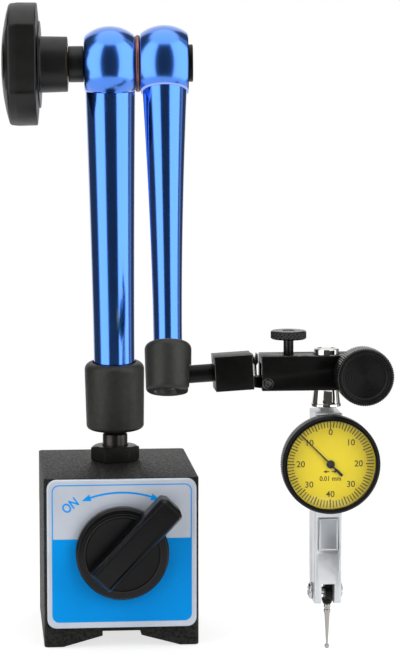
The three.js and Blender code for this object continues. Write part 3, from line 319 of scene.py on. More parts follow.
def makeObject(name, points, faces, along="z"):
    # A closed mesh, with the points on its axis merged and its faces turned outwards
    mesh = bpy.data.meshes.new(name)
    mesh.from_pydata(points.reshape(-1, 3)[:, columnOrder[along]].tolist(), [], faces)
    form = bmesh.new()
    form.from_mesh(mesh)
    bmesh.ops.remove_doubles(form, verts=form.verts, dist=1e-4)
    bmesh.ops.dissolve_degenerate(form, edges=form.edges, dist=1e-5)
    bmesh.ops.recalc_face_normals(form, faces=form.faces)
    form.to_mesh(mesh)
    form.free()
    return linked(name, mesh)


def turnedPiece(name, profile, sides=64, along="z", closed=False, change=None):
    # A profile of (radius, height) carried round its axis; change(radius, turn, height) gives the
    # radius of a shape that isn't round
    profile = np.asarray(profile, float)
    turn = np.linspace(0, 2 * math.pi, sides, endpoint=False)
    radius = np.repeat(profile[:, :1], sides, 1)
    height = np.repeat(profile[:, 1:2], sides, 1)
    if change:
        radius = change(radius, turn[None], height)
    points = np.stack([radius * np.cos(turn), radius * np.sin(turn), height], -1)
    return makeObject(name, points, gridFaces(len(profile), sides, closed).tolist(), along)


def drawnIn(line, inset):
    # A closed line moved inwards along the mean of its two sides' normals at each corner
    line = np.asarray(line, float)
    side = np.roll(line, -1, 0) - line
    side /= np.linalg.norm(side, axis=1)[:, None]
    area = np.sum(line[:, 0] * np.roll(line[:, 1], -1) - np.roll(line[:, 0], -1) * line[:, 1])
    normal = np.stack([-side[:, 1], side[:, 0]], 1) * np.sign(area)
    mean = normal + np.roll(normal, 1, 0)
    mean /= np.maximum(np.sum(mean ** 2, 1) / 2, 0.3)[:, None]
    return line + inset * mean


def carried(name, line, sections, along="z"):
    # A closed line carried through sections of (inset, height), with flat ends
    rows = [np.column_stack([drawnIn(line, inset), np.full(len(line), height)]) for inset, height in sections]
    faces = gridFaces(len(rows), len(line), False).tolist()
    last = (len(rows) - 1) * len(line)
    faces += [list(range(len(line))), list(range(last, last + len(line)))]
    return makeObject(name, np.stack(rows), faces, along)


def slab(name, line, low, high, edge=0, along="z"):
    # A closed line carried from one height to another, with round edges
    if edge == 0:
        return carried(name, line, [(0, low), (0, high)], along)
    sections = rounded([(edge, low), (0, low, edge), (0, high, edge), (edge, high)], steps=3)
    return carried(name, line, sections, along)


def roundedBox(x0, x1, y0, y1, radius):
    return rounded([(x0, y0, radius), (x1, y0, radius), (x1, y1, radius), (x0, y1, radius)], True, 6)


def blockOf(name, x0, x1, y0, y1, z0, z1):
    return slab(name, [(x0, y0), (x1, y0), (x1, y1), (x0, y1)], z0, z1)


def rodOf(radius, low, high, along="z", sides=48, at=(0, 0, 0)):
    rod = turnedPiece("rod", [(0, low), (radius, low), (radius, high), (0, high)], sides, along)
    rod.data.transform(Matrix.Translation(at))
    return rod


def settle(thing):
    # The object's mesh with its modifiers applied
    bpy.context.view_layer.update()
    settled = bpy.data.meshes.new_from_object(thing.evaluated_get(bpy.context.evaluated_depsgraph_get()))
    thing.modifiers.clear()
    old, thing.data = thing.data, settled
    bpy.data.meshes.remove(old)
    return thing


def combine(thing, operation, *others):
    for other in others:
        step = thing.modifiers.new("combine", "BOOLEAN")
        step.operation = operation
        step.object = other
        step.solver = "EXACT"
    settle(thing)
    for other in others:
        bpy.data.objects.remove(other)
    return thing


def flattened(thing, degrees=0.4, dist=1e-4):
    # Faces that lie in one plane become one face, so that only real edges are left to soften
    form = bmesh.new()
    form.from_mesh(thing.data)
    bmesh.ops.remove_doubles(form, verts=form.verts, dist=dist)
    bmesh.ops.dissolve_limit(form, angle_limit=math.radians(degrees), verts=form.verts, edges=form.edges)
    form.to_mesh(thing.data)
    form.free()
    return thing


def softened(thing, width, segments=2, degrees=35, wornHighlit=False):
    # Real edges rounded; where asked, the rounded edges take the second material, a lighter steel that is partly
    # edge wear and partly a painted highlight along the edges
    flattened(thing)
    step = thing.modifiers.new("edges", "BEVEL")
    step.width = width
    step.segments = segments
    step.limit_method = "ANGLE"
    step.angle_limit = math.radians(degrees)
    if wornHighlit:
        for finish in (finishes["black_steel"], finishes["worn_highlit_edge"]):
            thing.data.materials.append(finish)
        step.material = 1
    return settle(thing)


def solidOf(node):
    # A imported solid's own mesh in millimetres, merged and flattened
    mesh = frame["nodes"][node].data.copy()
    mesh.materials.clear()
    mesh.transform(Matrix.Scale(1000, 4))
    return flattened(linked(node + "_fine", mesh), dist=1e-3)


def finished(thing, place, slot, body, *nodes, finish=None, sharp=35):
    # The piece is put in its place, shaded, finished and tied to its body and nodes
    thing.data.transform(place)
    thing.data.shade_smooth()
    thing.data.set_sharp_from_angle(angle=math.radians(sharp))
    if not thing.data.materials:
        thing.data.materials.append(finishes[finish or slot])
    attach(thing, body)
    if nodes:
        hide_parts(*nodes)
    return thing


def wording(name, words, size, depth, turn=0, at=(0, 0), heavy=0, narrow=1):
    # Letters cut from a thin sheet that faces -Y
    curve = bpy.data.curves.new(name, "FONT")
    curve.body = words
    curve.size = size
    curve.extrude = 0.01
    curve.offset = heavy
    curve.resolution_u = 4
    curve.align_x = "CENTER"
    curve.align_y = "CENTER"
    letters = linked(name, curve)
    bpy.context.view_layer.update()
    mesh = bpy.data.meshes.new_from_object(letters.evaluated_get(bpy.context.evaluated_depsgraph_get()))
    bpy.data.objects.remove(letters)
    mesh.materials.clear()
    upright = Matrix.Rotation(math.pi / 2, 4, "X") @ Matrix.Rotation(math.radians(turn), 4, "Z")
    mesh.transform(Matrix.Diagonal((narrow, 1, 1, 1)))
    mesh.transform(Matrix.Translation((at[0], depth, at[1])) @ upright)
    return flattened(linked(name, mesh), 0.1)


def gathered(name, things):
    # Several meshes as one
    form = bmesh.new()
    for thing in things:
        form.from_mesh(thing.data)
        bpy.data.objects.remove(thing)
    mesh = bpy.data.meshes.new(name)
    form.to_mesh(mesh)
    form.free()
    return linked(name, mesh)


millimetres = Matrix.Scale(0.001, 4)


# Base block

poleEdge = 0.45

for node in ("pole_left", "pole_right"):
    pole = softened(solidOf(node), poleEdge, 3, 40)
    finished(pole, millimetres, "wrinkle_black", "base", node)
for node in ("spacer_top", "spacer_bottom"):
    # Wider than the solid by the poles' edge rounding, as paint runs over the seams
    spacer = solidOf(node)
    low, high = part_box(node)
    middle = Matrix.Translation((low + high) * 500)
    wider = Matrix.Diagonal((1 + 2 * poleEdge / 1000 / (high.x - low.x), 1, 1, 1))
    spacer.data.transform(middle @ wider @ middle.inverted())
    finished(spacer, millimetres, "wrinkle_black", "base", node)

plate = {"half": 24.05, "foot": 6.6, "top": 54.9, "corner": 3, "front": -32.3, "back": -30.3, "edge": 0.45,
         "bore": 4.7}
border = {"half": 22.5, "foot": 8.6, "top": 53.4, "corner": 2.3, "line": 0.36, "blueTop": 35.75}
ink = {"proud": 0.03, "field": 0.035, "word": 0.02, "sunk": 0.01}
inkFront, inkBack = plate["front"] - ink["proud"], plate["front"] + ink["sunk"]

plateLine = roundedBox(-plate["half"], plate["half"], plate["foot"], plate["top"], plate["corner"])
plateSheet = slab("label_plate_fine", plateLine, plate["front"], plate["back"], plate["edge"], "y")
plateBore = rodOf(plate["bore"], plate["front"] - overrun, plate["back"] + overrun, "y",
                  at=(0, 0, rotorHeight))
combine(plateSheet, "DIFFERENCE", plateBore)
finished(plateSheet, basePlace, "printed_plate", "base", "label_plate")


def hoop(name, outer, inner, low, high):
    # The strip between two lines of the same number of points, as a thin sheet that faces -Y
    rows = [(outer, low), (outer, high), (inner, high), (inner, low)]
    points = np.stack([np.column_stack([line, np.full(len(line), height)]) for line, height in rows])
    return makeObject(name, points, gridFaces(4, len(outer), True).tolist(), "y")


def plateMarks():
    half, foot, top, corner = border["half"], border["foot"], border["top"], border["corner"]
    outer = roundedBox(-half, half, foot, top, corner)
    line = hoop("border", outer, drawnIn(outer, border["line"]), inkFront, inkBack)
    blue = rounded([(-half, foot, corner), (half, foot, corner), (half, border["blueTop"]),
                    (-half, border["blueTop"])], True, 6)
    field = slab("field", blue, plate["front"] - ink["field"], inkBack, along="y")
    return line, field


arrow = {"radius": 32.5, "top": 50.7, "aside": -0.3, "half": 22.8, "width": 0.62, "head": 3, "headWidth": 2.3}


def doubleArrow():
    # An arc of constant width whose two ends are triangles that point along it
    a = arrow
    headTurn = math.degrees(a["head"] / a["radius"])
    first, last = 90 + a["half"] - headTurn, 90 - a["half"] + headTurn
    half, wide = a["width"] / 2, a["headWidth"] / 2

    def along(radius, start, end, steps):
        return arcLine(radius, 0, start, end, steps)

    def at(radius, degrees):
        return along(radius, degrees, degrees, 0)

    line = np.concatenate([
        at(a["radius"], 90 + a["half"]), at(a["radius"] + wide, first),
        along(a["radius"] + half, first, last, 24), at(a["radius"] + wide, last),
        at(a["radius"], 90 - a["half"]), at(a["radius"] - wide, last),
        along(a["radius"] - half, last, first, 24), at(a["radius"] - wide, first)])
    line += (a["aside"], a["top"] - a["radius"])
    return slab("arrow", line, inkFront, inkBack, along="y")


wordDepth = plate["front"] - ink["word"]
plateWords = [
    wording("on", "ON", 4.25, wordDepth, 37, (-16.5, rotorHeight + 15.2), 0.1, 0.82),
    wording("off", "OFF", 3.1, wordDepth, -47.6, (13.9, rotorHeight + 12.7), 0.03, 0.82),
]
plateInk = gathered("plate_print", [*plateMarks(), doubleArrow(), *plateWords])
finished(plateInk, basePlace, "printed_plate", "base", finish="plate_blue")

rearCover = softened(solidOf("rear_cover"), 0.25, 2, 50)
finished(rearCover, millimetres, "wrinkle_black", "base", "rear_cover")

rearScrew = {"places": [(-20, 12.1), (-20, 48), (20, 12.1), (20, 48)], "shank": 1.4, "head": 2.8, "tip": 22,
             "seat": 31.4, "top": 33, "slotDepth": 1, "slotReach": 1.7, "slotHalf": 0.3}


def rearScrewPiece(node):
    c = rearScrew
    shank, head, tip, seat, top = c["shank"], c["head"], c["tip"], c["seat"], c["top"]
    screw = turnedPiece(node + "_fine", rounded([
        (0, tip), (shank, tip, 0.2), (shank, seat), (head, seat, 0.15), (head, top - 0.8, 0.2),
        (1.5, top, 0.8), (0, top)]), 40, "y")
    for half, reach in ((c["slotHalf"], c["slotReach"]), (c["slotReach"], c["slotHalf"])):
        slot = blockOf("slot", -half, half, top - c["slotDepth"], top + overrun, -reach, reach)
        combine(screw, "DIFFERENCE", slot)
    return screw


for number, (x, z) in enumerate(rearScrew["places"], 1):
    node = "rear_screw_%d" % number
    finished(rearScrewPiece(node), shifted(basePlace, x, 0, z), "bright_steel", "base", node)

nut = {"flat": 14.1, "height": 5, "turn": 3.2, "foot": 55.2, "bore": 4.45, "behind": 6}


def lockNut():
    # A hexagon cut by a cone at each end, so that its corners come in
    corner, flat = nut["flat"] / math.sqrt(3), nut["flat"] / 2
    turn = np.radians(nut["turn"] + np.arange(6) * 60)
    hexagon = slab("lock_nut_fine", np.stack([np.cos(turn), np.sin(turn)], 1) * corner, 0, nut["height"])
    drop = (corner - flat) * 0.75
    cone = turnedPiece("cone", [
        (0, 0), (corner - 0.4, 0), (corner + 0.05, 0.3), (corner + 0.05, nut["height"] - drop),
        (flat * 0.97, nut["height"]), (0, nut["height"])], 96)
    combine(hexagon, "INTERSECT", cone)
    combine(hexagon, "DIFFERENCE", rodOf(nut["bore"], -overrun, nut["height"] + overrun))
    return softened(hexagon, 0.25, 3, 25)


nutPlace = shifted(basePlace, 0, nut["behind"], nut["foot"])
finished(lockNut(), nutPlace, "black_steel", "base", "lock_nut", finish="nut_steel")
print("base block made")


# Switch knob

switch = {"radius": 15, "back": -32.7, "front": -37.2, "leverFront": -45.2, "reach": 23.2, "tail": 11.2,
          "tip": 9.2, "tailWidth": 8.8, "flank": 0.95, "ridge": 0.2, "off": 43.8}


def switchKnob():
    front, back, radius = switch["front"], switch["back"], switch["radius"]
    disc = turnedPiece("switch_knob_fine", rounded([
        (0, front + 0.25), (11.7, front + 0.25, 0.1), (11.9, front + 0.05, 0.08), (12.2, front + 0.05, 0.08),
        (12.4, front + 0.25, 0.1), (13, front + 0.3, 0.1), (13.15, front + 0.55, 0.1),
        (14.3, front + 0.65, 0.3), (radius, front + 1.5, 0.5), (radius, back, 0.3), (4.6, back),
        (4.6, front + 1), (0, front + 1)]), 144, "y")
    tip, tail, reach = switch["tip"] / 2, switch["tailWidth"] / 2, switch["reach"]
    line = rounded([(-switch["tail"], -tail, 0.9), (reach - 1.1, -tip, 1.5), (reach, -tip * 0.6, 1.2),
                    (reach, tip * 0.6, 1.2), (reach - 1.1, tip, 1.5), (-switch["tail"], tail, 0.9)], True, 6)
    c, s = math.cos(math.radians(90 - switch["off"])), math.sin(math.radians(90 - switch["off"]))
    line = line @ np.array([[c, s], [-s, c]])
    face, ridge = switch["leverFront"], switch["ridge"]
    sections = rounded([(1.5, face + 0.12), (1.25, face + 0.12, 0.2), (switch["flank"], face, ridge),
                        (0, face + 2.2, 1.2), (0, front + 0.9)], steps=4)
    lever = carried("lever", line, sections, "y")
    return combine(disc, "UNION", lever)


finished(switchKnob(), rotorPlace, "black_plastic", "switch", "switch_knob", finish="switch_plastic",
         sharp=28)
print("switch made")


# Arm

def turnedFine(node, profile, place, slot, body, sides=64, along="z", closed=False, **options):
    thing = turnedPiece(node + "_fine", profile, sides, along, closed)
    return finished(thing, place, slot, body, node, **options)


lowerStud = rounded([
    (0, -33), (3.9, -33, 0.3), (3.9, -12.2), (4.15, -11.9), (4.15, -8.0, 0.1), (3.35, -7.1, 0.1),
    (2.6, -7.1, 0.2), (2.6, -6.3)])
lowerStud = np.concatenate([lowerStud, arcLine(6.8, 0, -67.5, 90, 24)])
lowerStud[:2, 1] = (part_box("ball_stud_lower")[0].z - joints["base_swivel"]["pos_m"][2]) * 1000
turnedFine("ball_stud_lower", lowerStud, studPlace, "brown_steel", "lower_stud")

collars = {
    "lower": {"radius": 10, "ball": 6.8, "foot": 6, "rise": 16.6, "mouth": 6.9, "round": 2.4},
    "upper": {"radius": 7.5, "ball": 4.5, "foot": 5.2, "rise": 10.8, "mouth": 4.2, "round": 2.4},
}


def collarProfile(key):
    # Straight bore for the tube, round socket that closes below the ball, slightly tapered outside
    c = collars[key]
    radius, foot, rise, mouth, edge = c["radius"], c["foot"], c["rise"], c["mouth"], c["round"]
    bore, socket = c["ball"] + 0.35, c["ball"] + 0.3
    lip = -math.degrees(math.asin(c["ball"] * 0.64 / socket))
    return np.concatenate([
        [(bore, rise), (bore, 0.3)], arcLine(socket, 0, 0, lip, 12),
        rounded([(mouth, -foot + 0.3), (mouth + 0.3, -foot), (radius - edge / 6, -foot, edge * 0.55),
                 (radius, rise, edge * 1.05), (bore + 0.25, rise), (bore, rise - 0.2)], steps=8)])


turnedFine("lower_collar", collarProfile("lower"), lowerPlace, "collar_black", "lower_arm", 96, closed=True)

tubes = {
    "lower": {"foot": 6.85, "top": 8.2, "bore": 3, "low": 9, "start": 16.6, "high": 106.8, "spigot": 5.6,
              "share": 1.4},
    "upper": {"foot": 4.55, "top": 7.25, "bore": 2.3, "low": 5.883, "start": 10.8, "high": 95.2,
              "spigot": 4.65, "share": 1.65},
}


def tubeProfile(key):
    # Radius foot + (top - foot) * t ** share along the tube, which opens out late towards its head
    c = tubes[key]
    foot, bore, start, high, spigot = c["foot"], c["bore"], c["start"], c["high"], c["spigot"]
    t = np.linspace(0, 1, 33)
    taper = np.stack([foot + (c["top"] - foot) * t ** c["share"], start + (high - start) * t], 1)
    taper[-1] -= (0.12, 0)
    taper[-2] = taper[-1] + (0.12, -0.12)
    return np.concatenate([
        [(bore, c["low"]), (foot, c["low"])], taper,
        [(spigot, high), (spigot, high + 3.2), (bore, high + 3.2)]])


turnedFine("lower_tube", tubeProfile("lower"), lowerPlace, "blue_anodised", "lower_arm", 96, closed=True,
           sharp=30)
upperTube = turnedFine("upper_tube", tubeProfile("upper"), upperPlace, "blue_anodised", "upper_arm", 96,
                       closed=True, sharp=30)

boltBore = 4.3
heads = {
    "lower": {"radius": 12.3, "half": 8.3, "shoulder": 8.5, "socket": 5.9, "rodBore": 2.7},
    "upper": {"radius": 12.5, "half": 7.85, "shoulder": 9.6, "socket": 4.95, "rodBore": 2.1},
}


def elbowHead(key):
    # A ball with two flats across the bolt, cut off level where the tube meets it
    c = heads[key]
    radius, half, shoulder = c["radius"], c["half"], c["shoulder"]
    flat = math.degrees(math.asin(half / radius))
    arc = arcLine(radius, 0, -flat, flat, 40)
    rim = math.sqrt(radius ** 2 - half ** 2)
    ball = turnedPiece(key + "_head_fine", np.concatenate([
        [(0, -half), (rim - 0.25, -half)], arc[1:-1], [(rim - 0.25, half), (0, half)]]), 128, "x")
    reach = radius + overrun
    below = blockOf("below", -reach, reach, -reach, reach, -2 * radius, -shoulder)
    bores = [rodOf(boltBore, -radius, radius, "x"), rodOf(c["socket"], -reach, -shoulder + 3.5),
             rodOf(c["rodBore"], -reach, 0, sides=24)]
    return combine(ball, "DIFFERENCE", below, *bores)


upperHeadPlace = placeAt(shifted(elbowPlace, headPitch).translation, upperAxis, elbowAxis)
for key, place in (("lower", elbowPlace), ("upper", upperHeadPlace)):
    finished(elbowHead(key), place, "blue_anodised", key + "_arm", key + "_head", finish="head_blue",
             sharp=20)

turnedFine("elbow_washer", rounded([
    (boltBore, 8.36), (8.9, 8.36, 0.1), (9.3, 8.8, 0.3), (9.3, 9.4, 0.3), (8.9, 9.84, 0.1),
    (boltBore, 9.84)], True), elbowPlace, "copper", "lower_arm", 72, "x", True)

bolt = {"radius": 4, "end": -22.4, "waist": 2.6, "head": 6.1, "seat": 25.65, "top": 27.1}


def boltProfile():
    # A waist at the middle of each head, whose slope lifts the rod in that arm
    b = bolt
    waists = []
    for middle in (0, headPitch):
        waists += [(b["radius"], middle - 2.8), (b["waist"], middle - 1.4, 0.4), (b["radius"], middle + 2.8)]
    return rounded([
        (0, b["end"]), (b["radius"], b["end"], 0.3), *waists, (b["radius"], b["seat"]),
        (b["head"], b["seat"], 0.2), (b["head"], b["top"], 0.35), (0, b["top"])])


turnedFine("elbow_bolt", boltProfile(), elbowPlace, "black_steel", "draw_bolt", 64, "x")
turnedFine("lock_sleeve", rounded([
    (boltBore, -13.5), (5.9, -13.5, 0.25), (5.9, -8.6, 0.25), (boltBore, -8.6)], True), elbowPlace,
    "black_steel", "sleeve", 64, "x", True, finish="black_plastic")

knob = {"radius": 20.2, "lobes": 3, "depth": 5, "scallop": 32, "turn": -10.5, "back": -32.8, "rim": -22.7,
        "dome": 2.5, "domeRadius": 19.2, "domeEdge": 17.6, "boss": 14.2, "hub": 9, "face": -13.8,
        "blend": 0.22, "insert": 6.8, "insertDepth": 8.1}


def lockKnob():
    # A domed disc with a scallop between each two lobes, and a plain hub. In a scallop the radius is
    # that of a circle whose middle lies outside: far * cos t - sqrt(scallop^2 - (far * sin t)^2), with t
    # counted from its middle; blend rounds the edge where it meets the full radius
    k = knob
    full, back, rim, boss, hub, face = (k[name] for name in ("radius", "back", "rim", "boss", "hub", "face"))
    far = full - k["depth"] + k["scallop"]
    pitch = 2 * math.pi / k["lobes"]

    def lobed(radius, turn, height):
        aside = np.arctan2(-np.sin(turn), -np.cos(turn)) - math.radians(k["turn"])
        aside = aside - pitch * np.round(aside / pitch)
        side = np.maximum(k["scallop"] ** 2 - (far * np.sin(aside)) ** 2, 0)
        past = full - far * np.cos(aside) + np.sqrt(side)
        drawIn = (past + np.sqrt(past ** 2 + k["blend"])) / 2
        share = np.clip((radius - boss + 1) / (full - boss + 1), 0, 1)
        return radius - np.where(height < rim - 0.4, drawIn * share ** 0.5, 0)

    domeRadii = np.linspace(0, k["domeEdge"], 18)
    dome = np.stack([domeRadii, back - k["dome"] * (1 - (domeRadii / k["domeRadius"]) ** 2.2)], 1)
    insert, floor = k["insert"], face - k["insertDepth"]
    profile = np.concatenate([
        dome,
        rounded([(18, back - 0.28), (19.9, back + 0.2, 1.2), (full, back + 3, 2),
                 (full - 0.1, rim - 0.9, 0.5), (15.4, rim - 0.45, 0.2), (boss, rim - 0.45),
                 (boss, rim, 0.25), (hub + 0.2, rim, 0.5), (hub, face - 1, 0.2), (hub, face, 0.35),
                 (insert, face), (insert, floor), (boltBore, floor), (boltBore, rim - 0.3),
                 (0, rim - 0.3)], steps=5)])
    return turnedPiece("lock_knob_fine", profile, 300, "x", change=lobed)


finished(lockKnob(), elbowPlace, "black_plastic", "knob", "lock_knob", sharp=30)
print("arm and elbow made")


# Upper ball joint

studLocal = (upperPlace.inverted() @ clampPlace).to_3x3() @ Vector((1, 0, 0))
slotYaw = math.atan2(studLocal.y, studLocal.x)
upper, slotHalf = collars["upper"], 3.15
slotLift = max(studLocal.normalized().z, 0) * upper["radius"]
upperCollar = turnedPiece("upper_collar_fine", collarProfile("upper"), 96, closed=True)
sideSlot = blockOf("slot", 0, upper["radius"] + overrun, -slotHalf, slotHalf, -upper["foot"] - overrun,
                   slotHalf + slotLift)
sideSlot.data.transform(Matrix.Rotation(slotYaw, 4, "Z"))
combine(upperCollar, "DIFFERENCE", sideSlot)
finished(softened(upperCollar, 0.12, 2, 50), upperPlace, "collar_black", "upper_arm", "upper_collar")

upperStud = np.concatenate([
    rounded([(0, -20.4), (2.5, -20.4, 0.3), (2.5, -14.1), (2.85, -14.1, 0.2), (2.85, -5.1, 0.2),
             (2.2, -4.5, 0.2), (2.2, -4.1)]), arcLine(4.5, 0, -60.5, 90, 20)])
upperStud[:, 1] *= -1
turnedFine("ball_stud_upper", upperStud, clampPlace, "black_steel", "upper_stud", 48, "x")


# Fine-adjusting clamp

# The block's rounded edges take the lighter steel: partly wear, partly painted highlight lines
tongue = softened(solidOf("tongue_block"), 0.3, 2, 40, wornHighlit=True)
finished(tongue, millimetres, "black_steel", "tongue", "tongue_block")
finished(softened(solidOf("fine_spring"), 0.06, 1, 40), millimetres, "bright_steel", "tongue", "fine_spring",
         finish="knurled_steel")

jaw = {"near": -1.85, "far": 35.05, "half": 5.55, "foot": -2.3, "top": 8.8, "roof": 6, "slot": 10.2,
       "slotHalf": 2.8, "pinBore": 1.45, "screw": 7.1, "screwBore": 1.9, "stem": 19.2, "stemBore": 4.3,
       "sawHalf": 0.5, "knob": 29.5, "knobRise": 2.9, "knobBore": 2.3, "across": 11}


def clampBlock():
    j = jaw
    near, far, half, foot, top, roof = (j[name] for name in ("near", "far", "half", "foot", "top", "roof"))
    below, above, across = foot - overrun, top + overrun, j["across"]
    chunk = blockOf("clamp_block_fine", near, far, -half, half, foot, top)
    cuts = [
        blockOf("tongueSlot", near - overrun, j["slot"], -j["slotHalf"], j["slotHalf"], below, roof),
        rodOf(j["pinBore"], -across, across, "y", 32),
        rodOf(j["screwBore"], roof - overrun, above, "z", 32, (j["screw"], 0, 0)),
        rodOf(j["stemBore"], below, above, "z", 64, (j["stem"], 0, 0)),
        blockOf("saw", j["stem"], far + overrun, -j["sawHalf"], j["sawHalf"], below, above),
        rodOf(j["knobBore"], -across, half + overrun, "y", 32, (j["knob"], 0, j["knobRise"]))]
    combine(chunk, "DIFFERENCE", *cuts)
    # Its rounded edges take the lighter steel: partly wear, partly painted highlight lines
    return softened(chunk, 0.28, 2, 40, wornHighlit=True)


finished(clampBlock(), jawPlace, "black_steel", "jaw", "clamp_block")
turnedFine("hinge_pin", rounded([(0, -5.5), (1.15, -5.5, 0.25), (1.15, 5.5, 0.25), (0, 5.5)]), jawPlace,
           "bright_steel", "jaw", 32, "y", finish="worn_highlit_edge")

thumb = {"head": 13.6, "height": 2.7, "radius": 5.75, "teeth": 30, "depth": 0.42}
thumbFoot = (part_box("thumb_screw")[0].z - joints["thumb_turn"]["pos_m"][2]) * 1000


def thumbScrew():
    # The rim is drawn in by depth * the larger of two triangle waves that climb opposite ways round
    t = thumb
    pitch = 2 * math.pi * t["radius"] / t["teeth"]

    def triangle(value):
        return np.abs((value % 1) - 0.5) * 2

    def knurled(radius, turn, height):
        around = turn * t["teeth"] / (2 * math.pi)
        climb = (height - t["head"]) / pitch
        wave = np.maximum(1 - triangle(around + climb), 1 - triangle(around - climb))
        return radius - np.where(radius > t["radius"] - 0.15, t["depth"] * wave, 0)

    top = t["head"] + t["height"]
    rim = [(t["radius"], z) for z in np.linspace(t["head"] + 0.35, top - 0.35, 13)]
    profile = np.concatenate([
        rounded([(0, thumbFoot), (1.6, thumbFoot, 0.2), (1.6, t["head"], 0.3), (5.25, t["head"], 0.15),
                 (5.6, t["head"] + 0.3)]), rim,
        rounded([(5.55, top - 0.25), (5.2, top, 0.2), (2.2, top, 0.3), (1.9, top - 0.25, 0.3),
                 (0, top - 0.25)])])
    return turnedPiece("thumb_screw_fine", profile, t["teeth"] * 6, "z", change=knurled)


finished(thumbScrew(), thumbPlace, "black_steel", "thumb", "thumb_screw", finish="knurled_steel", sharp=60)

turnedFine("clamp_washer", rounded([
    (2.3, -6.65), (5, -6.65, 0.2), (5, -5.85, 0.2), (2.3, -5.85)], True), pinchPlace, "bright_steel",
    "washer", 48, "y", True)

clampKnob = {"radius": 9.1, "front": -15.55, "back": -6.95, "dish": 1, "lip": 1.6, "teeth": 80,
             "depth": 0.2, "shank": 2, "end": 5.55}


def clampKnobPiece():
    # The rim is drawn in by depth * (1 - cos of the number of teeth times the turn) / 2
    k = clampKnob
    rim, front, back, shank, end = k["radius"], k["front"], k["back"], k["shank"], k["end"]
    inner, floor = rim - k["lip"], front + k["dish"]

    def toothed(radius, turn, height):
        wave = (1 - np.cos(k["teeth"] * turn)) / 2
        return radius - np.where(radius > rim - 0.2, k["depth"] * wave, 0)

    profile = rounded([
        (0, floor), (inner - 0.9, floor, 0.7), (inner - 0.2, front + 0.15, 0.25), (inner + 0.1, front, 0.15),
        (rim - 0.45, front, 0.35), (rim, front + 0.6, 0.3), (rim, back - 0.5, 0.3), (rim - 0.5, back, 0.2),
        (shank, back, 0.1), (shank, end, 0.2), (0, end)])
    thing = turnedPiece("clamp_knob_fine", profile, k["teeth"] * 6, "y", change=toothed)
    thing.data.materials.append(finishes["knurled_steel"])
    # The dish faces take the darker finish, which paints the shade in the dish
    thing.data.materials.append(finishes["turned_shaded_dish"])
    faces = thing.data.polygons
    centres = np.zeros(len(faces) * 3)
    faces.foreach_get("center", centres)
    centres = centres.reshape(-1, 3)
    dished = (np.hypot(centres[:, 0], centres[:, 2]) < inner) & (centres[:, 1] < floor + 0.5)
    faces.foreach_set("material_index", dished.astype(np.int32))
    return thing


finished(clampKnobPiece(), pinchPlace, "black_steel", "clamp", "clamp_knob", sharp=40)
print("clamp made")


# Indicator: stem, case and screws

def stemPiece():
    profile = rounded([
        (0, -5.7), (4.75, -5.7, 0.3), (4.72, -4.7, 0.1), (4.5, -4.55, 0.1), (4.45, -4.2, 0.1), (4, -0.3),
        (4, 12.8, 0.35), (3.1, 12.8, 0.1), (2.9, 12.6, 0.1), (0, 12.6)])
    thing = turnedPiece("stem_fine", profile, 72)
    notch = blockOf("notch", -1.55, 1.55, -5.75, -2.75, -4.1, -0.3)
    combine(thing, "DIFFERENCE", notch, rodOf(2.5, -6.7, -2.7))
    return softened(thing, 0.08, 2, 60)


finished(stemPiece(), hangPlace, "chrome", "stem", "stem", sharp=30)

case = {"half": 4.3, "front": -7, "back": 7, "foot": -61.2, "dial": -15.5, "pivot": -58.1, "housing": 14.4,
        "housingFront": -9.5, "fork": 2.1}


def casePiece():
    c = case
    side = rounded([(c["front"], 0, 0.5), (c["front"], c["foot"], 1.6), (c["back"] - 2, c["foot"], 1.6),
                    (c["back"], c["foot"] + 14, 6), (c["back"], 0, 0.5)], True, 5)
    body = slab("case_fine", side, -c["half"], c["half"], 0.35, "x")
    housing = turnedPiece("housing", rounded([
        (0, c["housingFront"]), (c["housing"], c["housingFront"], 0.1), (c["housing"], c["front"] + 0.9, 0.4),
        (0, c["front"] + 0.9)]), 96, "y")
    housing.data.transform(Matrix.Translation((0, 0, c["dial"])))
    neck = blockOf("neck", -c["fork"], c["fork"], -2.375, 2.375, -1, 1.15)
    combine(body, "UNION", housing, rodOf(2.2, -1, 4.15, "z", 32), neck)
    fork, foot, pivot = c["fork"], c["foot"], c["pivot"]
    cuts = [
        blockOf("fork", -fork, fork, -8, 8, foot - 1, pivot + 3.4),
        blockOf("cavity", -2.7, 2.7, -5.4, 5.4, pivot + 5, -9),
        blockOf("way", -fork, 0, -2.2, 2.2, pivot, pivot + 6.6),
        rodOf(0.9, -10.5, 0, "y", 24, (0, 0, c["dial"])),
        rodOf(1.4, -9, 9, "x", 24, (0, 0, pivot)),
        blockOf("window", -3.6, 3.35, -8, -6.2, -45, -33.1)]
    groove = slab("groove", [
        (3.65, -41.7), (3.85, -41.7), (3.3, -50.6), (4.6, -50.6), (4.6, -50.9), (3.05, -50.9)],
        -8, -6.5, along="y")
    combine(body, "DIFFERENCE", *cuts, groove)
    return softened(body, 0.14, 2, 50)


finished(casePiece(), casePlace, "satin_chrome", "indicator", "case", sharp=28)


def coverPlate():
    # A raised frame round a sunk field
    low, high = [casePlace.inverted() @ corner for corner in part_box("cover_plate")]
    x0, x1, z0, z1 = low.x + 0.1, high.x, low.z, high.z
    outline = [(x0, z0), (x1, z0), (x1, z1), (x0, z1)]
    sheet = slab("cover_plate_fine", outline, low.y - 0.05, high.y, 0.08, "y")
    field = (x0 + 0.6, x1 - 0.45, -9, low.y + 0.15, z0 + 0.6, z1 - 0.4)
    combine(sheet, "DIFFERENCE", blockOf("field", *field))
    softened(sheet, 0.05, 2, 60)
    sheet.data.materials.append(finishes["satin_chrome"])
    sheet.data.materials.append(finishes["cover_aluminium"])
    for face in sheet.data.polygons:
        x, y, z = face.center
        face.material_index = int(field[0] < x < field[1] and field[4] < z < field[5] and y > low.y + 0.1)
    return sheet


finished(coverPlate(), casePlace, "cover_aluminium", "indicator", "cover_plate")

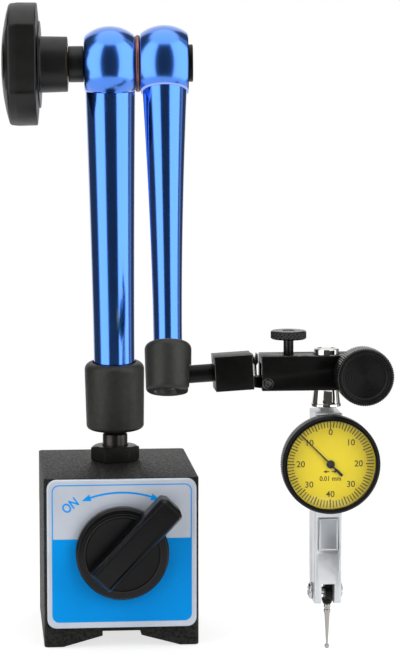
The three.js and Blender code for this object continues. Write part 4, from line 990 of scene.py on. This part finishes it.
for side, word in ((-1, "left"), (1, "right")):
    screw = turnedPiece("pivot_screw_%s_fine" % word, rounded([
        (0, 2.2 * side), (1.1, 2.2 * side), (1.1, 4.4 * side), (2.7, 4.4 * side, 0.1),
        (2.66, 4.9 * side, 0.4), (2.1, 5.45 * side, 0.4), (1.7, 5.45 * side, 0.1),
        (1.5, 5.3 * side, 0.1), (0, 5.3 * side)]), 48, "x")
    low, high = sorted((4.95 * side, 5.8 * side))
    combine(screw, "DIFFERENCE", blockOf("slot", low, high, -3, 3, -0.22, 0.22))
    finished(screw, pivotPlace, "bright_steel", "indicator", "pivot_screw_" + word)
print("case made")


# Dial: bezel, crystal, face and its marks, all about the dial's axis

bezel = {"radius": 15.6, "front": -13.9, "back": -7.6, "lip": 14, "bore": 14.7, "teeth": 132, "depth": 0.22}


def bezelPiece():
    # Round the rim the radius falls by depth * a triangle wave with one rise for each tooth
    b = bezel
    rim, front, back, lip, bore = b["radius"], b["front"], b["back"], b["lip"], b["bore"]

    def serrated(radius, turn, height):
        wave = np.abs((turn * b["teeth"] / (2 * math.pi)) % 1 - 0.5) * 2
        return radius - np.where(radius > rim - 0.12, b["depth"] * wave, 0)

    profile = rounded([
        (lip, front + 0.15, 0.1), (lip + 0.2, front, 0.15), (rim - 0.8, front, 0.4),
        (rim - 0.15, front + 0.75, 0.3), (rim, front + 1.1, 0.1), (rim, back - 0.5, 0.2),
        (rim - 0.3, back, 0.1), (bore, back), (bore, front + 0.9), (lip, front + 0.9)], True, 3)
    return turnedPiece("bezel_fine", profile, b["teeth"] * 4, "y", True, serrated)


finished(bezelPiece(), dialPlace, "black_steel", "dial", "bezel", sharp=50)

crystalFront = bezel["front"] + 0.7
crystalDome = [(r, crystalFront - 0.55 * (1 - (r / 13.6) ** 2)) for r in np.linspace(0, 13.5, 24)]
crystalProfile = np.concatenate([crystalDome, [
    (13.7, crystalFront), (13.7, crystalFront + 0.3), (14.4, crystalFront + 0.3), (14.4, crystalFront + 1.2),
    (0, crystalFront + 1.2)]])
turnedFine("crystal", crystalProfile, dialPlace, "crystal", "dial", 96, "y", sharp=40)

dialFront, dialBack = -10.3, -9.8
turnedFine("dial_face", rounded([
    (1.2, dialFront), (14.4, dialFront, 0.05), (14.4, dialBack), (1.2, dialBack)], True), dialPlace,
    "dial_yellow", "dial", 96, "y", True)

marks = {"count": 80, "outer": 13.75, "minor": 2.2, "major": 2.6, "fine": 0.26, "bold": 0.31}


def tickMarks():
    # A thin block for each division, longer and bolder at every fifth, all as one array of corners
    count = marks["count"]
    turn = np.arange(count) * 2 * math.pi / count
    fifth = np.arange(count) % 5 == 0
    length = np.where(fifth, marks["major"], marks["minor"])
    half = np.where(fifth, marks["bold"], marks["fine"]) / 2
    out = np.stack([np.sin(turn), np.cos(turn)], 1)
    across = np.stack([out[:, 1], -out[:, 0]], 1)
    corners = []
    for depth in (dialFront - 0.03, dialFront + 0.01):
        for reach, side in ((0, -1), (0, 1), (1, 1), (1, -1)):
            radius = marks["outer"] - reach * length
            place = out * radius[:, None] + across * (half * side)[:, None]
            corners.append(np.column_stack([place, np.full(count, depth)]))
    points = np.stack(corners, 1)
    faces = np.array([(0, 1, 2, 3), (7, 6, 5, 4), (0, 4, 5, 1), (1, 5, 6, 2), (2, 6, 7, 3), (3, 7, 4, 0)])
    allFaces = (faces[None] + (np.arange(count) * 8)[:, None, None]).reshape(-1, 4)
    return makeObject("ticks", points, allFaces.tolist(), "y")


numerals = [("0", 0, 10), ("10", 43.5, 9.2), ("20", 90, 8.85), ("30", 135, 9.1), ("40", 180, 9.55),
            ("30", 226, 9.3), ("20", 270, 9.35), ("10", 315, 9.45)]
dialWords = [
    wording("numeral", words, 2.75, dialFront - 0.02, 0,
            (radius * math.sin(math.radians(turn)), radius * math.cos(math.radians(turn))), 0.02)
    for words, turn, radius in numerals]
dialWords.append(wording("unit", "0.01 mm", 2.15, dialFront - 0.02, 0, (0, -4.6), 0.03, 0.9))


def smallArrows():
    # Two arrows that point outwards on either side of the middle
    things = []
    for side in (-1, 1):
        line = np.array([
            (2.3, 0), (1.2, 0.5), (1.2, 0.15), (0.4, 0.15), (0.4, -0.15), (1.2, -0.15), (1.2, -0.5)])
        line = line * (side, 1) + (0, -2.35)
        things.append(slab("smallArrow", line, dialFront - 0.03, dialFront + 0.01, along="y"))
    return things


dialInk = gathered("dial_marks", [tickMarks(), *dialWords, *smallArrows()])
finished(dialInk, dialPlace, "dial_yellow", "dial", finish="dial_ink")

pointer = {"length": 13.3, "tail": 5.2, "half": 0.26, "tailHalf": 0.42, "tip": 0.13, "hub": 1.3, "turn": 45,
           "front": -10.95, "back": -10.6}


def pointerPiece():
    p = pointer
    half, tail, wide, tip, hub = p["half"], p["tail"], p["tailHalf"], p["tip"], p["hub"]
    line = rounded([
        (-half, -tail * 0.35), (-wide, -tail * 0.55, 0.2), (-wide, -tail, 0.15), (wide, -tail, 0.15),
        (wide, -tail * 0.55, 0.2), (half, -tail * 0.35), (tip, p["length"]), (-tip, p["length"])], True, 3)
    hand = slab("pointer_fine", line, p["front"] + 0.05, p["back"], 0.04, "y")
    boss = turnedPiece("hub", rounded([
        (0, p["front"]), (hub, p["front"], 0.15), (hub, p["back"]), (0, p["back"])]), 48, "y")
    combine(hand, "UNION", boss)
    hand.data.transform(Matrix.Rotation(-math.radians(p["turn"]), 4, "Y"))
    return hand


finished(pointerPiece(), dialPlace, "black_steel", "pointer", "pointer")
print("dial made")


# Contact point

stylusPlace = shifted(pivotPlace, 0.7)
stylusHub = turnedPiece("stylus_hub_fine", rounded([
    (1.6, -1, 0.1), (3.2, -1, 0.2), (3.2, 1.3, 0.2), (1.6, 1.3, 0.1)], True), 48, "x", True)
combine(stylusHub, "UNION", turnedPiece("nose", rounded([
    (0, -2.4), (1.75, -2.4), (1.75, -3.1, 0.2), (1.35, -4.3, 0.2), (0, -4.3)]), 32))
finished(stylusHub, stylusPlace, "black_steel", "stylus", "stylus_hub")
pointLine = np.concatenate([
    arcLine(0.8, -18.2, -90, 64, 12),
    rounded([(0.34, -17.3), (0.34, -16.9, 0.4), (0.86, -7.6), (0.86, -7.35), (1.1, -7.25, 0.1),
             (1.1, -6.3, 0.1), (0.9, -6.1, 0.1), (0.9, -5.7, 0.1), (1.1, -5.5, 0.1), (1.1, -4.6, 0.1),
             (0.95, -4.4, 0.1), (1.1, -4.1, 0.1), (1.1, -3.3), (0, -3.3)], steps=2)])
turnedFine("contact_point", pointLine, stylusPlace, "bright_steel", "stylus", 40, finish="point_steel")


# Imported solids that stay: inner pieces take their slot's finish

slots = {row["node"]: row["material_slot"] for row in frame["record"]["subparts"]}
for node, solid in frame["nodes"].items():
    solid.data.materials.clear()
    solid.data.materials.append(finishes[slots[node]])

# The leaning upper arm would cross the lower tube's long highlights, which the photo shows whole
for thing in (upperTube, upperCollar, frame["nodes"]["upper_push_rod"]):
    thing.visible_glossy = False
print("inner pieces finished")


# Room, light and camera

room = {"brightest": 2.4, "above": 0.68, "below": 0.3, "fadeUp": (54, 64), "fadeDown": (-52, -60)}


def studio():
    # The world's brightness for reflections and light is a ramp by azimuth, counted from the front
    # towards the right, inside a band of elevation; the camera sees plain white
    world = bpy.data.worlds.new("studio")
    bpy.context.scene.world = world
    world.use_nodes = True
    tree = world.node_tree
    where = addNode(tree, "TexCoord").outputs["Generated"]
    parts = addNode(tree, "SeparateXYZ", Vector=where)
    azimuth = maths(tree, "ARCTAN2", parts.outputs[0], maths(tree, "MULTIPLY", parts.outputs[1], -1.0))
    share = addNode(tree, "MapRange", Value=azimuth, i1=-math.pi, i2=math.pi)
    ramp = addNode(tree, "ValToRGB", i0=share.outputs[0])
    stops = [(-180, 1), (-150, 1), (-143, 0.1), (-86, 0.1), (-79, 2.2), (-34, 2.2), (-31, 0.08), (24, 0.08),
             (27, 2.2), (86, 2.2), (89, 0.16), (94, 0.16), (98, 0.6), (108, 0.6), (114, 0.1), (146, 0.1),
             (154, 1), (180, 1)]
    elements = ramp.color_ramp.elements
    while len(elements) < len(stops):
        elements.new(0.5)
    for element, (degrees, level) in zip(elements, stops):
        element.position = (degrees + 180) / 360
        element.color = (level / room["brightest"],) * 3 + (1,)
    height = maths(tree, "ARCSINE", parts.outputs[2])
    whole = ramp.outputs[0]
    for fade, level in ((room["fadeUp"], room["above"]), (room["fadeDown"], room["below"])):
        start, end = math.radians(fade[0]), math.radians(fade[1])
        fading = addNode(tree, "MapRange", {"interpolation_type": "SMOOTHSTEP"}, Value=height, i1=start,
                         i2=end)
        mixed = addNode(tree, "Mix", {"data_type": "RGBA"}, i0=fading.outputs[0], i6=whole,
                        i7=(level,) * 3 + (1,))
        whole = mixed.outputs[2]
    light = tree.nodes["Background"]
    light.inputs["Strength"].default_value = room["brightest"]
    tree.links.new(whole, light.inputs["Color"])
    plain = addNode(tree, "Background", Color=(1, 1, 1, 1), Strength=1.0)
    seen = anyRay(tree, "Camera", "Transmission")
    mix = addNode(tree, "MixShader", i0=seen, i1=light.outputs[0], i2=plain.outputs[0])
    tree.links.new(mix.outputs[0], tree.nodes["World Output"].inputs["Surface"])


page = {"radius": 240, "top": -0.2, "thickness": 1, "tone": 0.4, "glow": 0.72}


def pageFloor():
    # A pale disc that shows white to the camera and to gloss, and keeps the object's shadow
    turn = np.linspace(0, 2 * math.pi, 96, endpoint=False)
    line = np.stack([np.cos(turn), np.sin(turn)], 1) * page["radius"]
    floor = slab("floor", line, page["top"] - page["thickness"], page["top"])
    floor.data.transform(basePlace)
    finish, tree, shader = newMaterial("paleFloor")
    setSockets(shader, Base_Color=(page["tone"],) * 3 + (1,), Roughness=0.9, Emission_Color=(1, 1, 1, 1))
    glow = maths(tree, "MULTIPLY", anyRay(tree, "Camera", "Glossy", "Transmission"), page["glow"])
    tree.links.new(glow, shader.inputs["Emission Strength"])
    floor.data.materials.append(finish)


view = {"place": (-0.068414, -0.799985, 0.189), "yaw": 5.14, "pitch": 6.21, "lens": 135.9}


def photoCamera():
    eye = bpy.data.cameras.new("photoCamera")
    eye.lens = view["lens"]
    eye.sensor_width = 36
    eye.clip_start = 0.01
    camera = bpy.data.objects.new("photoCamera", eye)
    camera.location = view["place"]
    camera.rotation_euler = (math.radians(90 - view["pitch"]), 0, -math.radians(view["yaw"]))
    bpy.context.scene.collection.objects.link(camera)
    bpy.context.scene.camera = camera


studio()
pageFloor()
photoCamera()
bpy.context.scene.view_settings.view_transform = "Standard"
print("light and camera set")
